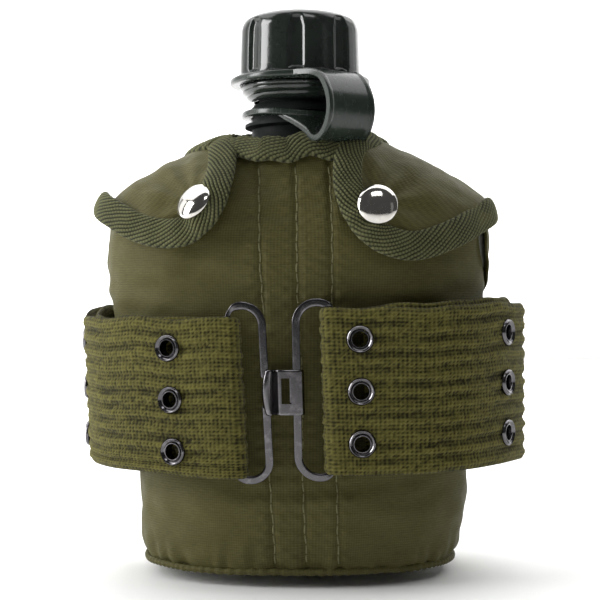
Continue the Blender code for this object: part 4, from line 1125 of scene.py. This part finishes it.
def make_buckle(looks):
    """Two flattened wire loops and the hook plate that joins them."""
    for name, bars in (("left", LEFT_BARS), ("right", RIGHT_BARS)):
        split = name == "left"
        route = loop_route(*bars, *LOOP_SPANS[name], split)
        route[:, 0] += (BUCKLE_MIDDLE - route[:, 2]) * (LEFT_LEAN if split else 0.36 * RIGHT_LEAN)
        route = route if split else route[:-1]
        along = tangents(route, closed=not split)
        up = np.repeat([[0, 1.0, 0]], len(route), axis=0)
        across = unit(np.cross(along, up))
        x, _, z = route.T
        in_fold = between(z, BELT_LOW - 1, BELT_LOW + 1, BELT_HIGH - 1, BELT_HIGH + 1)
        size = 1 - SLIM_IN_FOLD * in_fold * (np.abs(x - bars[1]) < np.abs(x - bars[0]))
        if split:
            size[[0, -1]] *= 0.7
        section = rounded_section(WIRE_WIDTH, WIRE_THICKNESS, 5.0, 36)
        points, faces = sweep(route, section, across, up, closed=not split, size=size)
        piece(f"buckle_{name}_wire", points, faces, looks["steel"], "black_steel", body=f"loop_{name}",
              replaced=[f"buckle_loop_{name}"], sharp=60)
    make_hook(looks)


def make_hook(looks):
    """Hook plate: rolled round the right loop's bar, slotted, and lipped over the left loop's bar."""
    right, left = RIGHT_BARS[0], LEFT_BARS[0]
    reach_x, reach_y = WIRE_WIDTH / 2 + 0.65, WIRE_THICKNESS / 2 + 0.65
    curl = [(right + reach_x * math.cos(a), BUCKLE_Y + reach_y * math.sin(a))
            for a in np.radians(np.linspace(175, -80, 22))]
    face = BUCKLE_Y - reach_y
    tip = (left - 0.6, face - 0.5)
    flat = [(right - 2.6, face - 0.1), (right - 5.4, face), (left + 4.2, face + 0.5),
            (left + 3.1, BUCKLE_Y - 0.2), (left + 2.3, BUCKLE_Y + 0.1), (left + 1.9, BUCKLE_Y - 1.2),
            (left + 1.6, face - 0.5), (left + 1.0, face - 1.1), (left + 0.2, face - 1.0), tip,
            (left - 0.9, face + 0.4), (left - 1.0, BUCKLE_Y), (left - 1.0, BUCKLE_Y + 0.9)]
    line = resample(spline(curl + flat, 6), 0.25)
    normal = right_of(line)
    run = lengths_along(line)
    lip = run[np.argmin(np.linalg.norm(line - tip, axis=1))]
    half = HOOK_HALF - (HOOK_HALF - LIP_HALF) * smooth(run, lip + 0.1, lip + 0.7)
    v = np.linspace(-1, 1, 61)
    z = BUCKLE_MIDDLE - 0.3 + v[:, None] * half[None]
    bow = 1.1 * v[:, None] ** 2 * smooth(-line[:, 0], -left - 2.6, -left)[None]
    bow = bow + (BUCKLE_MIDDLE - z) * 0.5 * LEFT_LEAN
    edge = rounded_edge(v, 0.95, 1.0, 0.2)
    sides = []
    for sign in (1, -1):
        xy = line[None] + sign * HOOK_STEEL / 2 * edge[..., None] * normal[None]
        sides.append(np.concatenate([xy[..., :1] + bow[..., None], xy[..., 1:], z[..., None]], axis=2))
    middle = (line[:-1] + line[1:]) / 2
    start, end, slot_half = HOOK_SLOT
    in_slot = (middle[:, 0] > start) & (middle[:, 0] < end) & (middle[:, 1] < BUCKLE_Y)
    tall = np.abs(z[:-1, :-1] - BUCKLE_MIDDLE) < slot_half
    points, faces, _ = shell(*sides, ~(in_slot[None] & tall))
    piece("buckle_hook_plate", points, faces, looks["steel"], "black_steel", body="hook",
          replaced=["buckle_hook"], sharp=40)


# ---- keepers ----


def make_keepers(looks):
    """Webbing tabs of the belt keepers on the back, and metal for the keepers, slides and belt ends."""
    for side in SIDES:
        low, high = (np.array(c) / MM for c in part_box(f"keeper_tab_{side}"))
        rows, columns = 2 * TAB_YARNS[0] + 1, 2 * TAB_YARNS[1] + 1
        row, column, crown, half_way = yarn_cells(rows, columns)
        x = low[0] + (high[0] - low[0]) * row / (rows - 1)
        z = low[2] + (high[2] - low[2]) * column / (columns - 1)
        place = np.stack([x, z], axis=-1)
        # relief thickens the crowns and darkens the colour between them: painted shade
        relief = np.clip(crown * 0.7 + half_way * 0.3 + 0.1 * rough(place, 2.0), 0, 1)
        rim = np.minimum(1, 0.25 + np.minimum(row, rows - 1 - row) * 0.4)
        middle, half = (low[1] + high[1]) / 2, (high[1] - low[1]) / 2 - 0.35
        thick = half * rim + 0.3 * relief
        points, faces, used = shell(*[np.stack([x, middle + sign * thick, z], axis=-1) for sign in (1, -1)])
        piece(f"keeper_{side}_webbing", points, faces, looks["webbing"], "belt_cotton",
              replaced=[f"keeper_tab_{side}"], uv=both(place)[used], relief=both(relief)[used])
        relook([f"keeper_{side}", f"keeper_slide_{side}", f"belt_end_clip_{side}"], looks["steel"])
        west, east, bottom, top = low[0] + 2.2, high[0] - 2.2, high[2] - 10.0, high[2] - 2.0
        corners = [(west, bottom), (east, bottom), (east, top), (west, top), (west, bottom), (east, top)]
        route = resample(np.array([(px, high[1] + 0.12, pz) for px, pz in corners]), 0.4)
        normals = np.repeat([[0, 1.0, 0]], len(route), axis=0)
        stitches(f"keeper_{side}_stitching", route, normals, looks["thread"], "belt_cotton", pitch=2.4,
                 length=2.0)


# ---- studio ----


def make_studio():
    """White sweep, soft panels and the camera at the eye level of the canteen's middle."""
    scene = bpy.context.scene
    curve = spline(SWEEP_PROFILE, 10)
    points = np.array([(x, y, z) for x in (-SWEEP_HALF, 0, SWEEP_HALF) for y, z in curve])
    mesh = bpy.data.meshes.new("studio_sweep")
    mesh.from_pydata(points.tolist(), [], grid_faces(3, len(curve)))
    mesh.shade_smooth()
    floor = bpy.data.objects.new("studio_sweep", mesh)
    scene.collection.objects.link(floor)
    look, tree, shader = principled("studio_white", (0.93, 0.93, 0.92), 0.85)
    coloured(tree, shader, noise_socket(tree, 3.0), (0.93, 0.93, 0.92), (0.95, 0.95, 0.95))
    mesh.materials.append(look)
    for name, place, aim, size, power in LIGHT_PANELS:
        light = bpy.data.lights.new(name, "AREA")
        light.shape = "RECTANGLE"
        light.size, light.size_y = size
        light.energy = power
        lamp = bpy.data.objects.new(name, light)
        lamp.location = place
        lamp.rotation_euler = (Vector(aim) - Vector(place)).to_track_quat("-Z", "Y").to_euler()
        scene.collection.objects.link(lamp)
    world = bpy.data.worlds.new("studio")
    world.use_nodes = True
    background = world.node_tree.nodes["Background"].inputs
    background["Color"].default_value = (1, 1, 1, 1)
    background["Strength"].default_value = WORLD_LIGHT
    scene.world = world
    scene.view_settings.view_transform = "Standard"
    camera = bpy.data.cameras.new("camera")
    camera.lens, camera.sensor_width, camera.shift_y = LENS, SENSOR, CAMERA_SHIFT
    eye = bpy.data.objects.new("camera", camera)
    eye.location = CAMERA_PLACE
    eye.rotation_euler = (math.radians(90), 0, 0)
    scene.collection.objects.link(eye)
    scene.camera = eye


def main():
    looks = make_looks()
    make_studio()
    make_bottle(looks)
    make_cap(looks)
    make_strap(looks)
    make_cover(looks)
    make_hem(looks)
    make_front_stitching(looks)
    for side in SIDES:
        make_flap(side, looks)
    make_neck_bindings(looks)
    make_belt(looks)
    make_eyelets(looks)
    make_buckle(looks)
    make_keepers(looks)


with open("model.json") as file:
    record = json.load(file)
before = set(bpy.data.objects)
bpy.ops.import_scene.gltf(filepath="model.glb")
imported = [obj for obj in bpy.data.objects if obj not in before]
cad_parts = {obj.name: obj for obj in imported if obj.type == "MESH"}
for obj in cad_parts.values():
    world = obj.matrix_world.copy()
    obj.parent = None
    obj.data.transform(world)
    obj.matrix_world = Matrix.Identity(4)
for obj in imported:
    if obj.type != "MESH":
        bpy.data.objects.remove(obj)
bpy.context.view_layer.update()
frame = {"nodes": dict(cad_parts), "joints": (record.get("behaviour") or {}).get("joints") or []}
main()
